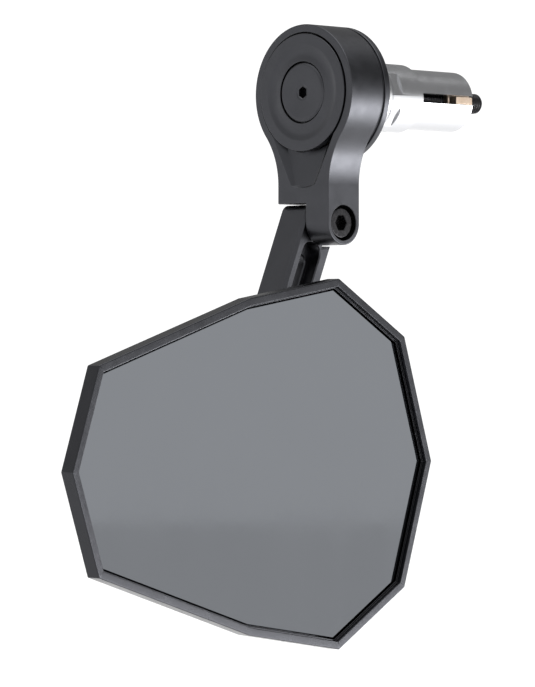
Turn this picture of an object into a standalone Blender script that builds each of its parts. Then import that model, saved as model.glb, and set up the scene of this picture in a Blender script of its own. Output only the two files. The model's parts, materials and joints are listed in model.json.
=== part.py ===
"""Bar-end mirror for a flat handlebar: a clamp that expands inside the bar's open end, a ring arm that
turns on it, a lower arm folding on a half-lap knuckle, and a ten-sided mirror head on a sliding ball joint.

Frame: metres, +Z up. The origin is on the handlebar's axis, in the plane where the bar's end butts on the
sleeve's shoulder. +X runs into the handlebar, -X is outboard, and -Y is the rider's side, where the glass
looks. The arm hangs straight down from the bar and the lower arm leans outboard.
"""
import math

import bmesh
import bpy
from mathutils import Matrix, Vector

MM = 0.001
GAP = 0.3 * MM                      # clearance kept between neighbouring pieces
FINE, MEDIUM, COARSE = 40, 32, 24   # sides of a turned piece

# --- bar clamp, along X -----------------------------------------------------------------------------
ARM_FRONT = -38.7 * MM              # outboard face of the ring arm
ARM_THICK = 12.5 * MM
ARM_BACK = ARM_FRONT + ARM_THICK
FLANGE_FRONT = ARM_BACK + 1.0 * MM
FLANGE_BACK = FLANGE_FRONT + 2.1 * MM
REGISTER_DEPTH = 0.5 * MM           # shallow seat in the flange that centres the sleeve
SLEEVE_START = FLANGE_BACK - REGISTER_DEPTH + GAP
SLEEVE_END = 22.7 * MM
COLLAR_RADIUS = 11.4 * MM
SLEEVE_RADIUS = 9.8 * MM            # section outside the bar, 19.6 mm
PLUG_RADIUS = 8.7 * MM              # section inside the bar, 17.4 mm
SLOT_WIDTH = 2.7 * MM
SLOT_START = 1.6 * MM
SLOT_COUNT = 3
BOLT_END = 33.6 * MM
BOLT_RADIUS = 2.95 * MM             # M6 with 1 mm pitch
THREAD_PITCH = 1.0 * MM
THREAD_DEPTH = 0.42 * MM
THREAD_SEEN = 15.2 * MM             # innermost crest that the sleeve's slots leave open
HEX_ZONE = (-11.7 * MM, -8.2 * MM)  # wrench hexagon on the sleeve
HEX_FLATS = 18.4 * MM
HEX_TURN = math.radians(-21)

# --- ring arm ---------------------------------------------------------------------------------------
RING_RADIUS = 19.2 * MM
CAP_RADIUS = 16.55 * MM
CAP_PROUD = 0.5 * MM
CAP_FRONT = ARM_FRONT - CAP_PROUD
CAP_PLUG_RADIUS = 8.4 * MM
RECESS_DEPTH = 2.9 * MM
RECESS_FLOOR = ARM_FRONT + RECESS_DEPTH
SPIGOT_RADIUS = 10.5 * MM
BUSH_RADIUS = 12.3 * MM
NECK_HALF = 10.05 * MM
NECK_FILLET = 22.3 * MM
LEDGE_Z = -31.2 * MM
LAP_Y = -1.05 * MM                  # inner face of the upper arm's tongue

# --- knuckle and lower arm --------------------------------------------------------------------------
KNUCKLE = Vector((ARM_FRONT + ARM_THICK / 2, 0.0, -36.7 * MM))
TONGUE_RADIUS = ARM_THICK / 2
LOWER_TILT = math.radians(22.8)
LOWER_FACE = LAP_Y + GAP            # rider's side of the lower arm
LOWER_LEFT, LOWER_RIGHT = -6.3 * MM, 6.9 * MM
LOWER_END = 92.0 * MM
KNUCKLE_END_RADIUS = 5.2 * MM
SHOULDER_FILLET = 2.8 * MM
NOTCH_DROP = 6.4 * MM               # level notch that clears the tongue, below the knuckle
CHAMFER = 0.9 * MM
WIDE_SLOT = 6.8 * MM
WIDE_SLOT_DEPTH = 4.0 * MM
NARROW_SLOT = 4.4 * MM
SLOT_TOP = 9.3 * MM                 # slot's end centres, measured down the arm from the knuckle
SLOT_BOTTOM = 84.5 * MM

# --- mirror head ------------------------------------------------------------------------------------
BALL_REACH = 72.8 * MM              # knuckle to ball, down the lower arm
BALL_Y = -10.0 * MM
BALL_RADIUS = 4.0 * MM
LINER_INNER = BALL_RADIUS + GAP
LINER_OUTER = LINER_INNER + 0.8 * MM
SEAT_RADIUS = LINER_OUTER + GAP
HEAD_FRONT = -20.0 * MM
HEAD_WALL = 4.5 * MM
HEAD_DEPTH = 6.4 * MM
HEAD_BACK = HEAD_FRONT + HEAD_DEPTH
HALF_OUTLINE = [(-81.8, 0.0), (-72.6, 27.6), (-18.1, 45.5), (16.3, 51.2), (42.5, 35.2), (53.5, 0.0)]
RIM_WIDTH = 2.1 * MM
RIM_STEP = 0.5 * MM
STEP_DEPTH = 1.4 * MM
GLASS_DEPTH = 1.9 * MM
GLASS_THICK = 1.8 * MM
FLOOR_DEPTH = 4.8 * MM
BOSS_RADIUS = 12.2 * MM
BOSS_TOP = HEAD_BACK + 4.5 * MM
RING_THICK = 2.0 * MM
SCREW_CIRCLE = 8.7 * MM
SOCKET_SCREWS = 4

PARTS = "bar_end_mirror"
CUTTERS = "cutters"


# --- scene helpers ----------------------------------------------------------------------------------
def collection(name):
    group = bpy.data.collections.get(name) or bpy.data.collections.new(name)
    if name not in bpy.context.scene.collection.children:
        bpy.context.scene.collection.children.link(group)
    return group


def material(name, colour, roughness, metallic):
    mat = bpy.data.materials.new(name)
    mat.use_nodes = True
    shader = mat.node_tree.nodes["Principled BSDF"]
    shader.inputs["Base Color"].default_value = (*colour, 1.0)
    shader.inputs["Roughness"].default_value = roughness
    shader.inputs["Metallic"].default_value = metallic
    return mat


def mesh_object(name, mesh, mat, matrix, group=PARTS):
    obj = bpy.data.objects.new(name, mesh)
    obj.matrix_world = matrix
    collection(group).objects.link(obj)
    mesh.shade_smooth()
    mesh.set_sharp_from_angle(angle=math.radians(30))
    if mat:
        mesh.materials.clear()
        mesh.materials.append(mat)
    return obj


def cut(obj, cutter, operation="DIFFERENCE"):
    modifier = obj.modifiers.new(operation.lower() + "_" + cutter.name, "BOOLEAN")
    modifier.operation = operation
    modifier.solver = "EXACT"
    modifier.object = cutter


def as_cutter(obj):
    for group in obj.users_collection:
        group.objects.unlink(obj)
    collection(CUTTERS).objects.link(obj)
    obj.hide_render = True
    obj.display_type = "WIRE"
    return obj


def evaluated_mesh(obj):
    bpy.context.view_layer.update()
    mesh = bpy.data.meshes.new_from_object(obj.evaluated_get(bpy.context.evaluated_depsgraph_get()))
    return mesh


# --- frames: local axes of a piece in the world -----------------------------------------------------
def along_x(x=0.0, y=0.0, z=0.0):
    """Local Z runs along world +X."""
    return Matrix.Translation((x, y, z)) @ Matrix.Rotation(math.pi / 2, 4, "Y")


def along_y(point):
    """Local Z runs along world +Y."""
    return Matrix.Translation(point) @ Matrix.Rotation(-math.pi / 2, 4, "X")


def side_plate(x):
    """Local XY is the world's YZ plane, and local Z is +X."""
    return Matrix.Translation((x, 0, 0)) @ Matrix(((0, 0, 1, 0), (1, 0, 0, 0), (0, 1, 0, 0), (0, 0, 0, 1)))


def front_plate(point, tilt=0.0):
    """Local X is +X, local Y is +Z and local Z is -Y, turned by tilt about the world's Y axis."""
    return Matrix.Translation(point) @ Matrix.Rotation(tilt, 4, "Y") @ Matrix.Rotation(math.pi / 2, 4, "X")


# --- shapes -----------------------------------------------------------------------------------------
def turned(name, mat, matrix, profile, steps=MEDIUM, group=PARTS):
    """A turned piece: profile holds (along, radius) pairs, down the outer side first, closed up the bore."""
    solid = profile[0][1] == 0.0 and profile[-1][1] == 0.0
    count = len(profile)
    edges = [(i, i + 1) for i in range(count - 1)] + ([] if solid else [(count - 1, 0)])
    mesh = bpy.data.meshes.new(name)
    mesh.from_pydata([(radius, 0.0, along) for along, radius in profile], edges, [])
    obj = bpy.data.objects.new(name, mesh)
    collection(group).objects.link(obj)
    screw = obj.modifiers.new("turn", "SCREW")
    screw.steps = screw.render_steps = steps
    screw.use_merge_vertices = True
    screw.merge_threshold = 0.000001
    result = evaluated_mesh(obj)
    bpy.data.objects.remove(obj)
    return mesh_object(name, result, mat, matrix, group)


def ring(name, mat, matrix, low, high, inner, outer, steps=MEDIUM, group=PARTS):
    """A plain ring or disc between two stations."""
    side = [(high, outer), (low, outer)]
    if inner:
        return turned(name, mat, matrix, side + [(low, inner), (high, inner)], steps, group)
    return turned(name, mat, matrix, [(high, 0.0)] + side + [(low, 0.0)], steps, group)


def plate(name, mat, matrix, outline, low, high, group=PARTS):
    """A flat outline extruded between two stations of its local Z."""
    curve = bpy.data.curves.new(name, "CURVE")
    curve.dimensions = "2D"
    curve.fill_mode = "BOTH"
    curve.extrude = (high - low) / 2
    spline = curve.splines.new("POLY")
    spline.points.add(len(outline) - 1)
    for point, (x, y) in zip(spline.points, outline):
        point.co = (x, y, 0.0, 1.0)
    spline.use_cyclic_u = True
    obj = bpy.data.objects.new(name, curve)
    collection(group).objects.link(obj)
    mesh = evaluated_mesh(obj)
    bpy.data.objects.remove(obj)
    work = bmesh.new()
    work.from_mesh(mesh)
    bmesh.ops.remove_doubles(work, verts=work.verts, dist=0.000001)
    bmesh.ops.translate(work, verts=work.verts, vec=(0, 0, (high + low) / 2))
    bmesh.ops.recalc_face_normals(work, faces=work.faces)
    work.to_mesh(mesh)
    work.free()
    return mesh_object(name, mesh, mat, matrix, group)


def edge_bevel(obj, width, angle=60, segments=1):
    bevel = obj.modifiers.new("edges", "BEVEL")
    bevel.width = width
    bevel.segments = segments
    bevel.limit_method = "ANGLE"
    bevel.angle_limit = math.radians(angle)


def arc(centre, radius, start, end, steps):
    """Points on an arc, with both ends, angles in degrees."""
    turns = [math.radians(start + (end - start) * i / steps) for i in range(steps + 1)]
    return [(centre[0] + radius * math.cos(t), centre[1] + radius * math.sin(t)) for t in turns]


def hexagon(flats, turn=0.0):
    radius = flats / math.sqrt(3)
    return [(radius * math.cos(turn + i * math.pi / 3), radius * math.sin(turn + i * math.pi / 3))
            for i in range(6)]


def slot_outline(top, bottom, width, steps=10):
    """A slot with round ends, straight down local -Y, between two end centres."""
    return (arc((0, -top), width / 2, 0, 180, steps) + arc((0, -bottom), width / 2, 180, 360, steps))


def inset(outline, distance):
    """An outline moved inwards by one distance along every side (the outline runs clockwise)."""
    points = [Vector(p) for p in outline]
    sides = []
    for i, start in enumerate(points):
        along = (points[(i + 1) % len(points)] - start).normalized()
        inward = Vector((along.y, -along.x))
        sides.append((start + inward * distance, along))
    result = []
    for i, (start, along) in enumerate(sides):
        before, run = sides[i - 1]
        gap = start - before
        step = (gap.x * along.y - gap.y * along.x) / (run.x * along.y - run.y * along.x)
        result.append(tuple(before + run * step))
    return result


def socket_cap_screw(name, mat, matrix, head_radius, head_height, shank_radius, length, key, key_depth):
    """Head top at local 0, shank towards local -Z, hexagon socket in the head."""
    edge = head_radius * 0.08
    screw = turned(name, mat, matrix, [
        (0.0, 0.0), (0.0, head_radius - edge), (-edge, head_radius), (-head_height, head_radius),
        (-head_height, shank_radius), (-length + edge, shank_radius), (-length, shank_radius - edge),
        (-length, 0.0)], COARSE)
    key_hole = plate(name + "_key", None, matrix, hexagon(key), -key_depth, 1 * MM)
    cut(screw, as_cutter(key_hole))
    return screw


# --- the bar clamp ----------------------------------------------------------------------------------
def make_sleeve(mat):
    bore = 3.35 * MM
    wedge_start = 11.6 * MM
    sleeve = turned("expander_sleeve", mat, along_x(), [
        (SLEEVE_END, PLUG_RADIUS - 0.3 * MM), (SLEEVE_END - 0.3 * MM, PLUG_RADIUS),
        (0.0, PLUG_RADIUS), (0.0, SLEEVE_RADIUS - 0.2 * MM), (-0.2 * MM, SLEEVE_RADIUS),
        (HEX_ZONE[0], SLEEVE_RADIUS), (-14.2 * MM, COLLAR_RADIUS), (SLEEVE_START, COLLAR_RADIUS),
        (SLEEVE_START, bore), (SLOT_START - 1 * MM, bore), (SLOT_START, 5.0 * MM),
        (wedge_start, 5.2 * MM), (SLEEVE_END, 7.4 * MM)], FINE)
    outside = ring("sleeve_hex_blank", None, along_x(), *HEX_ZONE, 0.0, 14 * MM, group=CUTTERS)
    hexagon_core = plate("sleeve_hex_core", None, along_x(), hexagon(HEX_FLATS, HEX_TURN),
                         HEX_ZONE[0] - 1 * MM, HEX_ZONE[1] + 1 * MM, CUTTERS)
    cut(outside, as_cutter(hexagon_core))
    cut(sleeve, as_cutter(outside))
    for i in range(SLOT_COUNT):
        turn = Matrix.Rotation(i * 2 * math.pi / SLOT_COUNT, 4, "X")
        cutter = plate(f"sleeve_slot_{i + 1}", None, turn @ front_plate((0, 0, 0)), [
            (SLOT_START, -SLOT_WIDTH / 2), (SLEEVE_END + 2 * MM, -SLOT_WIDTH / 2),
            (SLEEVE_END + 2 * MM, SLOT_WIDTH / 2), (SLOT_START, SLOT_WIDTH / 2)], 4.0 * MM, 12 * MM)
        cut(sleeve, as_cutter(cutter))


def make_wedge(mat):
    start, end = 15.8 * MM, SLEEVE_END + 0.5 * MM
    wedge = turned("wedge_nut", mat, along_x(), [
        (end, 6.6 * MM), (end - 0.5 * MM, 7.0 * MM), (start + 0.6 * MM, 5.65 * MM), (start, 5.05 * MM),
        (start, BOLT_RADIUS + GAP), (end, BOLT_RADIUS + GAP)], MEDIUM)
    for i in range(SLOT_COUNT):
        turn = Matrix.Rotation(i * 2 * math.pi / SLOT_COUNT, 4, "X")
        half = SLOT_WIDTH / 2 - GAP
        key = plate(f"wedge_key_{i + 1}", None, turn @ front_plate((0, 0, 0)), [
            (start + 0.3 * MM, -half), (end - 0.3 * MM, -half), (end - 0.3 * MM, half),
            (start + 0.3 * MM, half)],
            4.5 * MM, 8.1 * MM)
        cut(wedge, as_cutter(key), "UNION")


def make_clamp_bolt(mat):
    head_front, head_back = -32.2 * MM, -26.8 * MM
    profile = [(BOLT_END, 0.0), (BOLT_END, BOLT_RADIUS - 0.7 * MM)]
    for first, crests in ((BOLT_END - 0.7 * MM, 9), (THREAD_SEEN, 10)):
        for i in range(crests):
            crest = first - i * THREAD_PITCH
            profile.append((crest, BOLT_RADIUS))
            profile.append((crest - THREAD_PITCH / 2, BOLT_RADIUS - THREAD_DEPTH))
        profile.append((crest - THREAD_PITCH, BOLT_RADIUS))
    profile += [(head_back, BOLT_RADIUS), (head_back, 4.9 * MM),
                (head_front + 0.4 * MM, 4.9 * MM), (head_front, 4.5 * MM), (head_front, 0.0)]
    bolt = turned("clamp_bolt", mat, along_x(), profile, 16)
    key = plate("clamp_bolt_key", None, along_x(), hexagon(5 * MM), head_front - 1 * MM,
                head_front + 3 * MM)
    cut(bolt, as_cutter(key))


def make_hub(mat):
    spigot_front = RECESS_FLOOR
    register_floor = FLANGE_BACK - REGISTER_DEPTH
    register_radius = COLLAR_RADIUS + GAP
    turned("base_hub", mat, along_x(), [
        (FLANGE_BACK, RING_RADIUS - 0.4 * MM), (FLANGE_BACK - 0.4 * MM, RING_RADIUS),
        (FLANGE_FRONT + 0.3 * MM, RING_RADIUS), (FLANGE_FRONT, RING_RADIUS - 0.3 * MM),
        (FLANGE_FRONT, SPIGOT_RADIUS), (spigot_front, SPIGOT_RADIUS), (spigot_front, 8.3 * MM),
        (spigot_front + 3.6 * MM, 8.3 * MM), (spigot_front + 3.6 * MM, 5.3 * MM),
        (FLANGE_BACK - 2.0 * MM, 5.3 * MM), (FLANGE_BACK - 2.0 * MM, BOLT_RADIUS + GAP),
        (register_floor, BOLT_RADIUS + GAP), (register_floor, register_radius),
        (FLANGE_BACK, register_radius)], FINE)


def make_cap(mat):
    """Dished retaining cap with a threaded skirt, and the plug that closes its middle."""
    back = RECESS_FLOOR - 1.0 * MM
    hole = CAP_PLUG_RADIUS + GAP
    turned("cap_disc", mat, along_x(), [
        (back, CAP_RADIUS - 0.2 * MM), (back - 0.2 * MM, CAP_RADIUS), (CAP_FRONT + 0.3 * MM, CAP_RADIUS),
        (CAP_FRONT, CAP_RADIUS - 0.3 * MM), (CAP_FRONT, 13.6 * MM), (CAP_FRONT + 0.5 * MM, 12.4 * MM),
        (CAP_FRONT + 0.5 * MM, 11.4 * MM), (CAP_FRONT, hole + 0.2 * MM), (CAP_FRONT + 0.2 * MM, hole),
        (CAP_FRONT + 1.9 * MM, hole), (CAP_FRONT + 1.9 * MM, 6.6 * MM), (back + 4.0 * MM, 6.6 * MM),
        (back + 4.0 * MM, 8.0 * MM), (back, 8.0 * MM)], FINE)
    plug = turned("cap_plug", mat, along_x(), [
        (CAP_FRONT + 4.8 * MM, 0.0), (CAP_FRONT + 4.8 * MM, 6.2 * MM), (CAP_FRONT + 1.6 * MM, 6.2 * MM),
        (CAP_FRONT + 1.6 * MM, CAP_PLUG_RADIUS), (CAP_FRONT + 0.4 * MM, CAP_PLUG_RADIUS),
        (CAP_FRONT, CAP_PLUG_RADIUS - 0.4 * MM), (CAP_FRONT, 2.6 * MM), (CAP_FRONT + 0.3 * MM, 1.9 * MM),
        (CAP_FRONT + 0.3 * MM, 0.0)], MEDIUM)
    key = plate("cap_plug_key", None, along_x(), hexagon(3 * MM), CAP_FRONT - 1 * MM,
                CAP_FRONT + 3 * MM)
    cut(plug, as_cutter(key))


def make_hub_rings(bronze, polymer, steel):
    ring("bearing_bush", polymer, along_x(), RECESS_FLOOR + GAP, ARM_BACK + GAP,
         SPIGOT_RADIUS + GAP, BUSH_RADIUS)
    ring("front_friction_washer", bronze, along_x(), RECESS_FLOOR - 0.7 * MM, RECESS_FLOOR - GAP,
         11.0 * MM, 16.2 * MM)
    ring("rear_friction_washer", bronze, along_x(), ARM_BACK + GAP, FLANGE_FRONT - GAP,
         12.8 * MM, 17.6 * MM)
    floor = FLANGE_BACK - 2.0 * MM
    ring("bolt_washer", steel, along_x(), floor - 1.3 * MM, floor - GAP, BOLT_RADIUS + GAP, 4.9 * MM, COARSE)


# --- the ring arm -----------------------------------------------------------------------------------
def arm_outline():
    """Ring, hollow flanks tangent to it, and a parallel neck, drawn in the YZ plane."""
    reach = RING_RADIUS + NECK_FILLET
    centre_y = NECK_HALF + NECK_FILLET
    centre_z = -math.sqrt(reach ** 2 - centre_y ** 2)
    touch = math.degrees(math.atan2(centre_z, centre_y))
    bottom = KNUCKLE.z - TONGUE_RADIUS - 1 * MM
    right = arc((centre_y, centre_z), NECK_FILLET, 180, 180 + touch, 8)
    left = [(-y, z) for y, z in reversed(right)]
    over = arc((0, 0), RING_RADIUS, touch, 180 - touch, 36)[1:-1]
    return [(NECK_HALF, bottom)] + right + over + left + [(-NECK_HALF, bottom)]


def make_upper_arm(mat):
    arm = plate("upper_arm", mat, side_plate(ARM_FRONT), arm_outline(), 0.0, ARM_THICK)
    edge_bevel(arm, 0.35 * MM)
    far = 30 * MM
    bottom = KNUCKLE.z - 12 * MM
    half_lap = plate("arm_half_lap", None, side_plate(ARM_FRONT), [
        (LAP_Y, LEDGE_Z), (far, LEDGE_Z), (far, bottom), (LAP_Y, bottom)], -5 * MM, ARM_THICK + 5 * MM)
    tongue_end = plate("arm_tongue_end", None, front_plate(KNUCKLE), [(-9 * MM, 0.0)]
                       + arc((0, 0), TONGUE_RADIUS, 180, 360, 20)
                       + [(9 * MM, 0.0), (9 * MM, -12 * MM), (-9 * MM, -12 * MM)], -far, far)
    bore = ring("arm_bore", None, along_x(), ARM_FRONT - 1 * MM, ARM_BACK + 1 * MM, 0.0,
                BUSH_RADIUS + GAP)
    recess = ring("arm_recess", None, along_x(), ARM_FRONT - 1 * MM, RECESS_FLOOR, 0.0,
                  CAP_RADIUS + 0.35 * MM, FINE)
    pocket = plate("arm_pocket", None, side_plate(ARM_FRONT), [
        (14.2 * MM, -8 * MM), (4.8 * MM, -26 * MM), (-4.8 * MM, -26 * MM), (-14.2 * MM, -8 * MM)],
        -1 * MM, 1.0 * MM)
    head_room = ring("arm_counterbore", None, along_y(KNUCKLE), -far, -4.0 * MM, 0.0, 5.0 * MM)
    bush_room = ring("arm_bush_bore", None, along_y(KNUCKLE), -8 * MM, 5 * MM, 0.0, 3.9 * MM, COARSE)
    for cutter in (half_lap, tongue_end, bore, recess, pocket, head_room, bush_room):
        cut(arm, as_cutter(cutter))


def make_knuckle(steel, bronze, polymer):
    head_top = -NECK_HALF + 1.0 * MM
    socket_cap_screw("knuckle_screw", steel, along_y(KNUCKLE) @ Matrix.Translation((0, 0, head_top))
                     @ Matrix.Rotation(math.pi, 4, "X"), 4.25 * MM, 4.7 * MM, 2.45 * MM, 17.4 * MM,
                     4 * MM, 2.6 * MM)
    ring("knuckle_bush", bronze, along_y(KNUCKLE), -4.0 * MM + GAP, LAP_Y - GAP, 2.75 * MM,
         3.6 * MM, COARSE)
    ring("knuckle_washer", polymer, along_y(KNUCKLE), LOWER_FACE + 0.05 * MM, LOWER_FACE + 0.7 * MM,
         2.8 * MM, 4.3 * MM, COARSE)
    nut_frame = along_y(KNUCKLE) @ Matrix.Rotation(LOWER_TILT, 4, "Z")
    nut = plate("knuckle_nut", steel, nut_frame, hexagon(8 * MM), 5.4 * MM, 9.2 * MM)
    thread = ring("knuckle_nut_thread", None, nut_frame, 4 * MM, 11 * MM, 0.0, 2.75 * MM, COARSE)
    cut(nut, as_cutter(thread))


# --- the lower arm and its slider -------------------------------------------------------------------
def lower_frame():
    return front_plate(KNUCKLE, LOWER_TILT)


def level(x, height):
    """Point of the lower arm's local frame at local x and at a height above the knuckle."""
    return x, (height + math.sin(LOWER_TILT) * x) / math.cos(LOWER_TILT)


def lower_outline():
    """A bar with a round foot, a shoulder level with the ledge above it and a notch under the tongue."""
    top = 90 + math.degrees(LOWER_TILT)
    nose = arc((0, 0), KNUCKLE_END_RADIUS, -42, top, 16)
    corner = level(LOWER_LEFT + SHOULDER_FILLET, KNUCKLE_END_RADIUS - SHOULDER_FILLET)
    shoulder = arc(corner, SHOULDER_FILLET, top, 180, 6)
    half = (LOWER_RIGHT - LOWER_LEFT) / 2
    foot = arc((LOWER_LEFT + half, -(LOWER_END - half)), half, 180, 360, 14)
    return nose + shoulder + foot + [level(LOWER_RIGHT, -NOTCH_DROP), level(3.9 * MM, -NOTCH_DROP)]


def make_lower_arm(mat):
    front = -LOWER_FACE
    back = -NECK_HALF
    frame = lower_frame()
    arm = plate("lower_arm", mat, frame, lower_outline(), back, front)
    edge_bevel(arm, CHAMFER)
    wide = plate("lower_wide_slot", None, frame, slot_outline(SLOT_TOP, SLOT_BOTTOM, WIDE_SLOT),
                 front - WIDE_SLOT_DEPTH, front + 1 * MM)
    narrow = plate("lower_narrow_slot", None, frame,
                   slot_outline(SLOT_TOP + 2.4 * MM, SLOT_BOTTOM, NARROW_SLOT), back - 1 * MM, front)
    screw_hole = ring("lower_screw_hole", None, frame, back - 1 * MM, front + 1 * MM, 0.0,
                      2.75 * MM, COARSE)
    washer_room = ring("lower_washer_room", None, frame, front - 1.0 * MM, front + 1 * MM, 0.0,
                       4.6 * MM, COARSE)
    nut_room = plate("lower_nut_room", None, frame, hexagon(8.7 * MM), back - 1 * MM,
                     back + 5.0 * MM)
    for cutter in (wide, narrow, screw_hole, washer_room, nut_room):
        cut(arm, as_cutter(cutter))


def ball_centre():
    down = Vector((-math.sin(LOWER_TILT), 0.0, -math.cos(LOWER_TILT)))
    return KNUCKLE + down * BALL_REACH + Vector((0.0, BALL_Y, 0.0))


def stud_point():
    point = ball_centre()
    return Vector((point.x, 0.0, point.z))


def make_slider(brass, steel):
    frame = front_plate(stud_point(), LOWER_TILT)
    foot = plate("slide_foot", brass, frame, slot_outline(-3.5 * MM, 3.5 * MM, WIDE_SLOT - 2 * GAP),
                 -LOWER_FACE - WIDE_SLOT_DEPTH + GAP, -LOWER_FACE + 0.7 * MM)
    hole = ring("slide_foot_hole", None, frame, -10 * MM, 10 * MM, 0.0, 2.25 * MM, COARSE)
    cut(foot, as_cutter(hole))
    washer_low = NECK_HALF + GAP
    ring("stud_washer", steel, along_y(stud_point()), washer_low, washer_low + 0.8 * MM, 2.3 * MM,
         4.5 * MM, COARSE)
    head_top = washer_low + 0.8 * MM + GAP + 2.2 * MM
    screw = turned("stud_screw", steel, along_y(stud_point()), [
        (head_top, 0.0), (head_top, 2.2 * MM), (head_top - 0.5 * MM, 3.1 * MM),
        (head_top - 1.2 * MM, 3.65 * MM), (head_top - 2.2 * MM, 3.8 * MM), (head_top - 2.2 * MM, 1.95 * MM),
        (-3.4 * MM, 1.95 * MM), (-3.7 * MM, 1.6 * MM), (-3.7 * MM, 0.0)], COARSE)
    key = plate("stud_screw_key", None, along_y(stud_point()), hexagon(2.5 * MM),
                head_top - 1.5 * MM, head_top + 1 * MM)
    cut(screw, as_cutter(key))


def sphere_arc(radius, low, high, steps):
    """(along, radius) points on a sphere about the ball's centre, from the high to the low station."""
    first, last = math.acos(high / radius), math.acos(low / radius)
    turns = [first + (last - first) * i / steps for i in range(steps + 1)]
    return [(radius * math.cos(t), radius * math.sin(t)) for t in turns]


def make_ball_joint(steel, polymer):
    frame = along_y(ball_centre())
    collar_low = -4.6 * MM - BALL_Y
    collar_high = LOWER_FACE - 0.7 * MM - GAP - BALL_Y
    neck = 2.0 * MM
    neck_low = math.sqrt(BALL_RADIUS ** 2 - neck ** 2)
    stud = turned("ball_stud", steel, frame, [
        (collar_high, 0.0), (collar_high, 4.3 * MM), (collar_high - 0.3 * MM, 4.6 * MM),
        (collar_low + 0.3 * MM, 4.6 * MM), (collar_low, 4.3 * MM), (collar_low, neck + 0.5 * MM),
        (collar_low - 0.5 * MM, neck)]
        + sphere_arc(BALL_RADIUS, -BALL_RADIUS, neck_low, 10), COARSE)
    for side in (-1, 1):
        flat = plate(f"ball_stud_flat_{side + 2}", None, frame, [
            (side * 4.0 * MM, -8 * MM), (side * 8.0 * MM, -8 * MM), (side * 8.0 * MM, 8 * MM),
            (side * 4.0 * MM, 8 * MM)][::side], collar_low - 0.2 * MM, collar_high + 1 * MM)
        cut(stud, as_cutter(flat))
    tap = ring("ball_stud_tap", None, frame, collar_low + 0.4 * MM, collar_high + 1 * MM, 0.0,
               2.25 * MM, COARSE)
    cut(stud, as_cutter(tap))
    low, high = -3.6 * MM, 3.1 * MM
    turned("ball_liner", polymer, frame, sphere_arc(LINER_OUTER, low, high, 6)
           + sphere_arc(LINER_INNER, low, high, 6)[::-1], COARSE)


# --- the mirror head --------------------------------------------------------------------------------
def head_outline():
    """The ten-sided outline about the ball's axis, clockwise from its outboard corner."""
    upper = [(x * MM, z * MM) for x, z in HALF_OUTLINE]
    return upper + [(x, -z) for x, z in reversed(upper[1:-1])]


def head_frame():
    """Local Z runs from the rim's plane into the head's depth as negative values."""
    point = ball_centre()
    return front_plate((point.x, HEAD_FRONT, point.z))


def make_housing(mat):
    frame = head_frame()
    housing = plate("mirror_housing", mat, frame, head_outline(), -HEAD_DEPTH, 0.0)
    work = bmesh.new()
    work.from_mesh(housing.data)
    back = [e for e in work.edges if all(v.co.z < -HEAD_DEPTH + 0.1 * MM for v in e.verts)
            and len({f.normal.to_tuple(2) for f in e.link_faces}) == 2]
    bmesh.ops.bevel(work, geom=back, offset=HEAD_DEPTH - HEAD_WALL, segments=1, affect="EDGES")
    front = [e for e in work.edges if all(v.co.z > -0.1 * MM for v in e.verts)
             and len({f.normal.to_tuple(2) for f in e.link_faces}) == 2]
    bmesh.ops.bevel(work, geom=front, offset=0.3 * MM, segments=1, affect="EDGES")
    work.to_mesh(housing.data)
    work.free()
    housing.data.set_sharp_from_angle(angle=math.radians(30))
    opening = plate("housing_opening", None, frame, inset(head_outline(), RIM_WIDTH), -STEP_DEPTH, 2 * MM)
    tray = plate("housing_tray", None, frame, inset(head_outline(), RIM_WIDTH + RIM_STEP),
                 -FLOOR_DEPTH, 0.0)
    joint = along_y(ball_centre())
    boss = turned("housing_boss", None, joint, [
        (BOSS_TOP - BALL_Y, 0.0), (BOSS_TOP - BALL_Y, BOSS_RADIUS - 0.4 * MM),
        (BOSS_TOP - BALL_Y - 0.4 * MM, BOSS_RADIUS), (HEAD_BACK - BALL_Y + 1.6 * MM, BOSS_RADIUS),
        (HEAD_BACK - BALL_Y - 0.6 * MM, BOSS_RADIUS + 2.2 * MM), (HEAD_BACK - BALL_Y - 0.6 * MM, 0.0)])
    seat_low = -4.6 * MM
    seat_high = BOSS_TOP - BALL_Y
    seat = turned("housing_seat", None, joint, [(seat_high + 1 * MM, 0.0),
                  (seat_high + 1 * MM, math.sqrt(SEAT_RADIUS ** 2 - seat_high ** 2))]
                  + sphere_arc(SEAT_RADIUS, seat_low, seat_high, 6) + [(seat_low, 0.0)], COARSE)
    cut(housing, as_cutter(opening))
    cut(housing, as_cutter(tray))
    cut(housing, as_cutter(boss), "UNION")
    cut(housing, as_cutter(seat))
    for i, place in enumerate(socket_screw_places()):
        hole = ring(f"housing_tap_{i + 1}", None, along_y(place), -3.6 * MM, 4 * MM, 0.0, 1.3 * MM, 12)
        cut(housing, as_cutter(hole))


def socket_screw_places():
    """Points on the boss face under each socket screw."""
    centre = ball_centre()
    places = []
    for i in range(SOCKET_SCREWS):
        turn = math.pi / 4 + i * 2 * math.pi / SOCKET_SCREWS
        places.append(Vector((centre.x + SCREW_CIRCLE * math.cos(turn), BOSS_TOP,
                              centre.z + SCREW_CIRCLE * math.sin(turn))))
    return places


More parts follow.
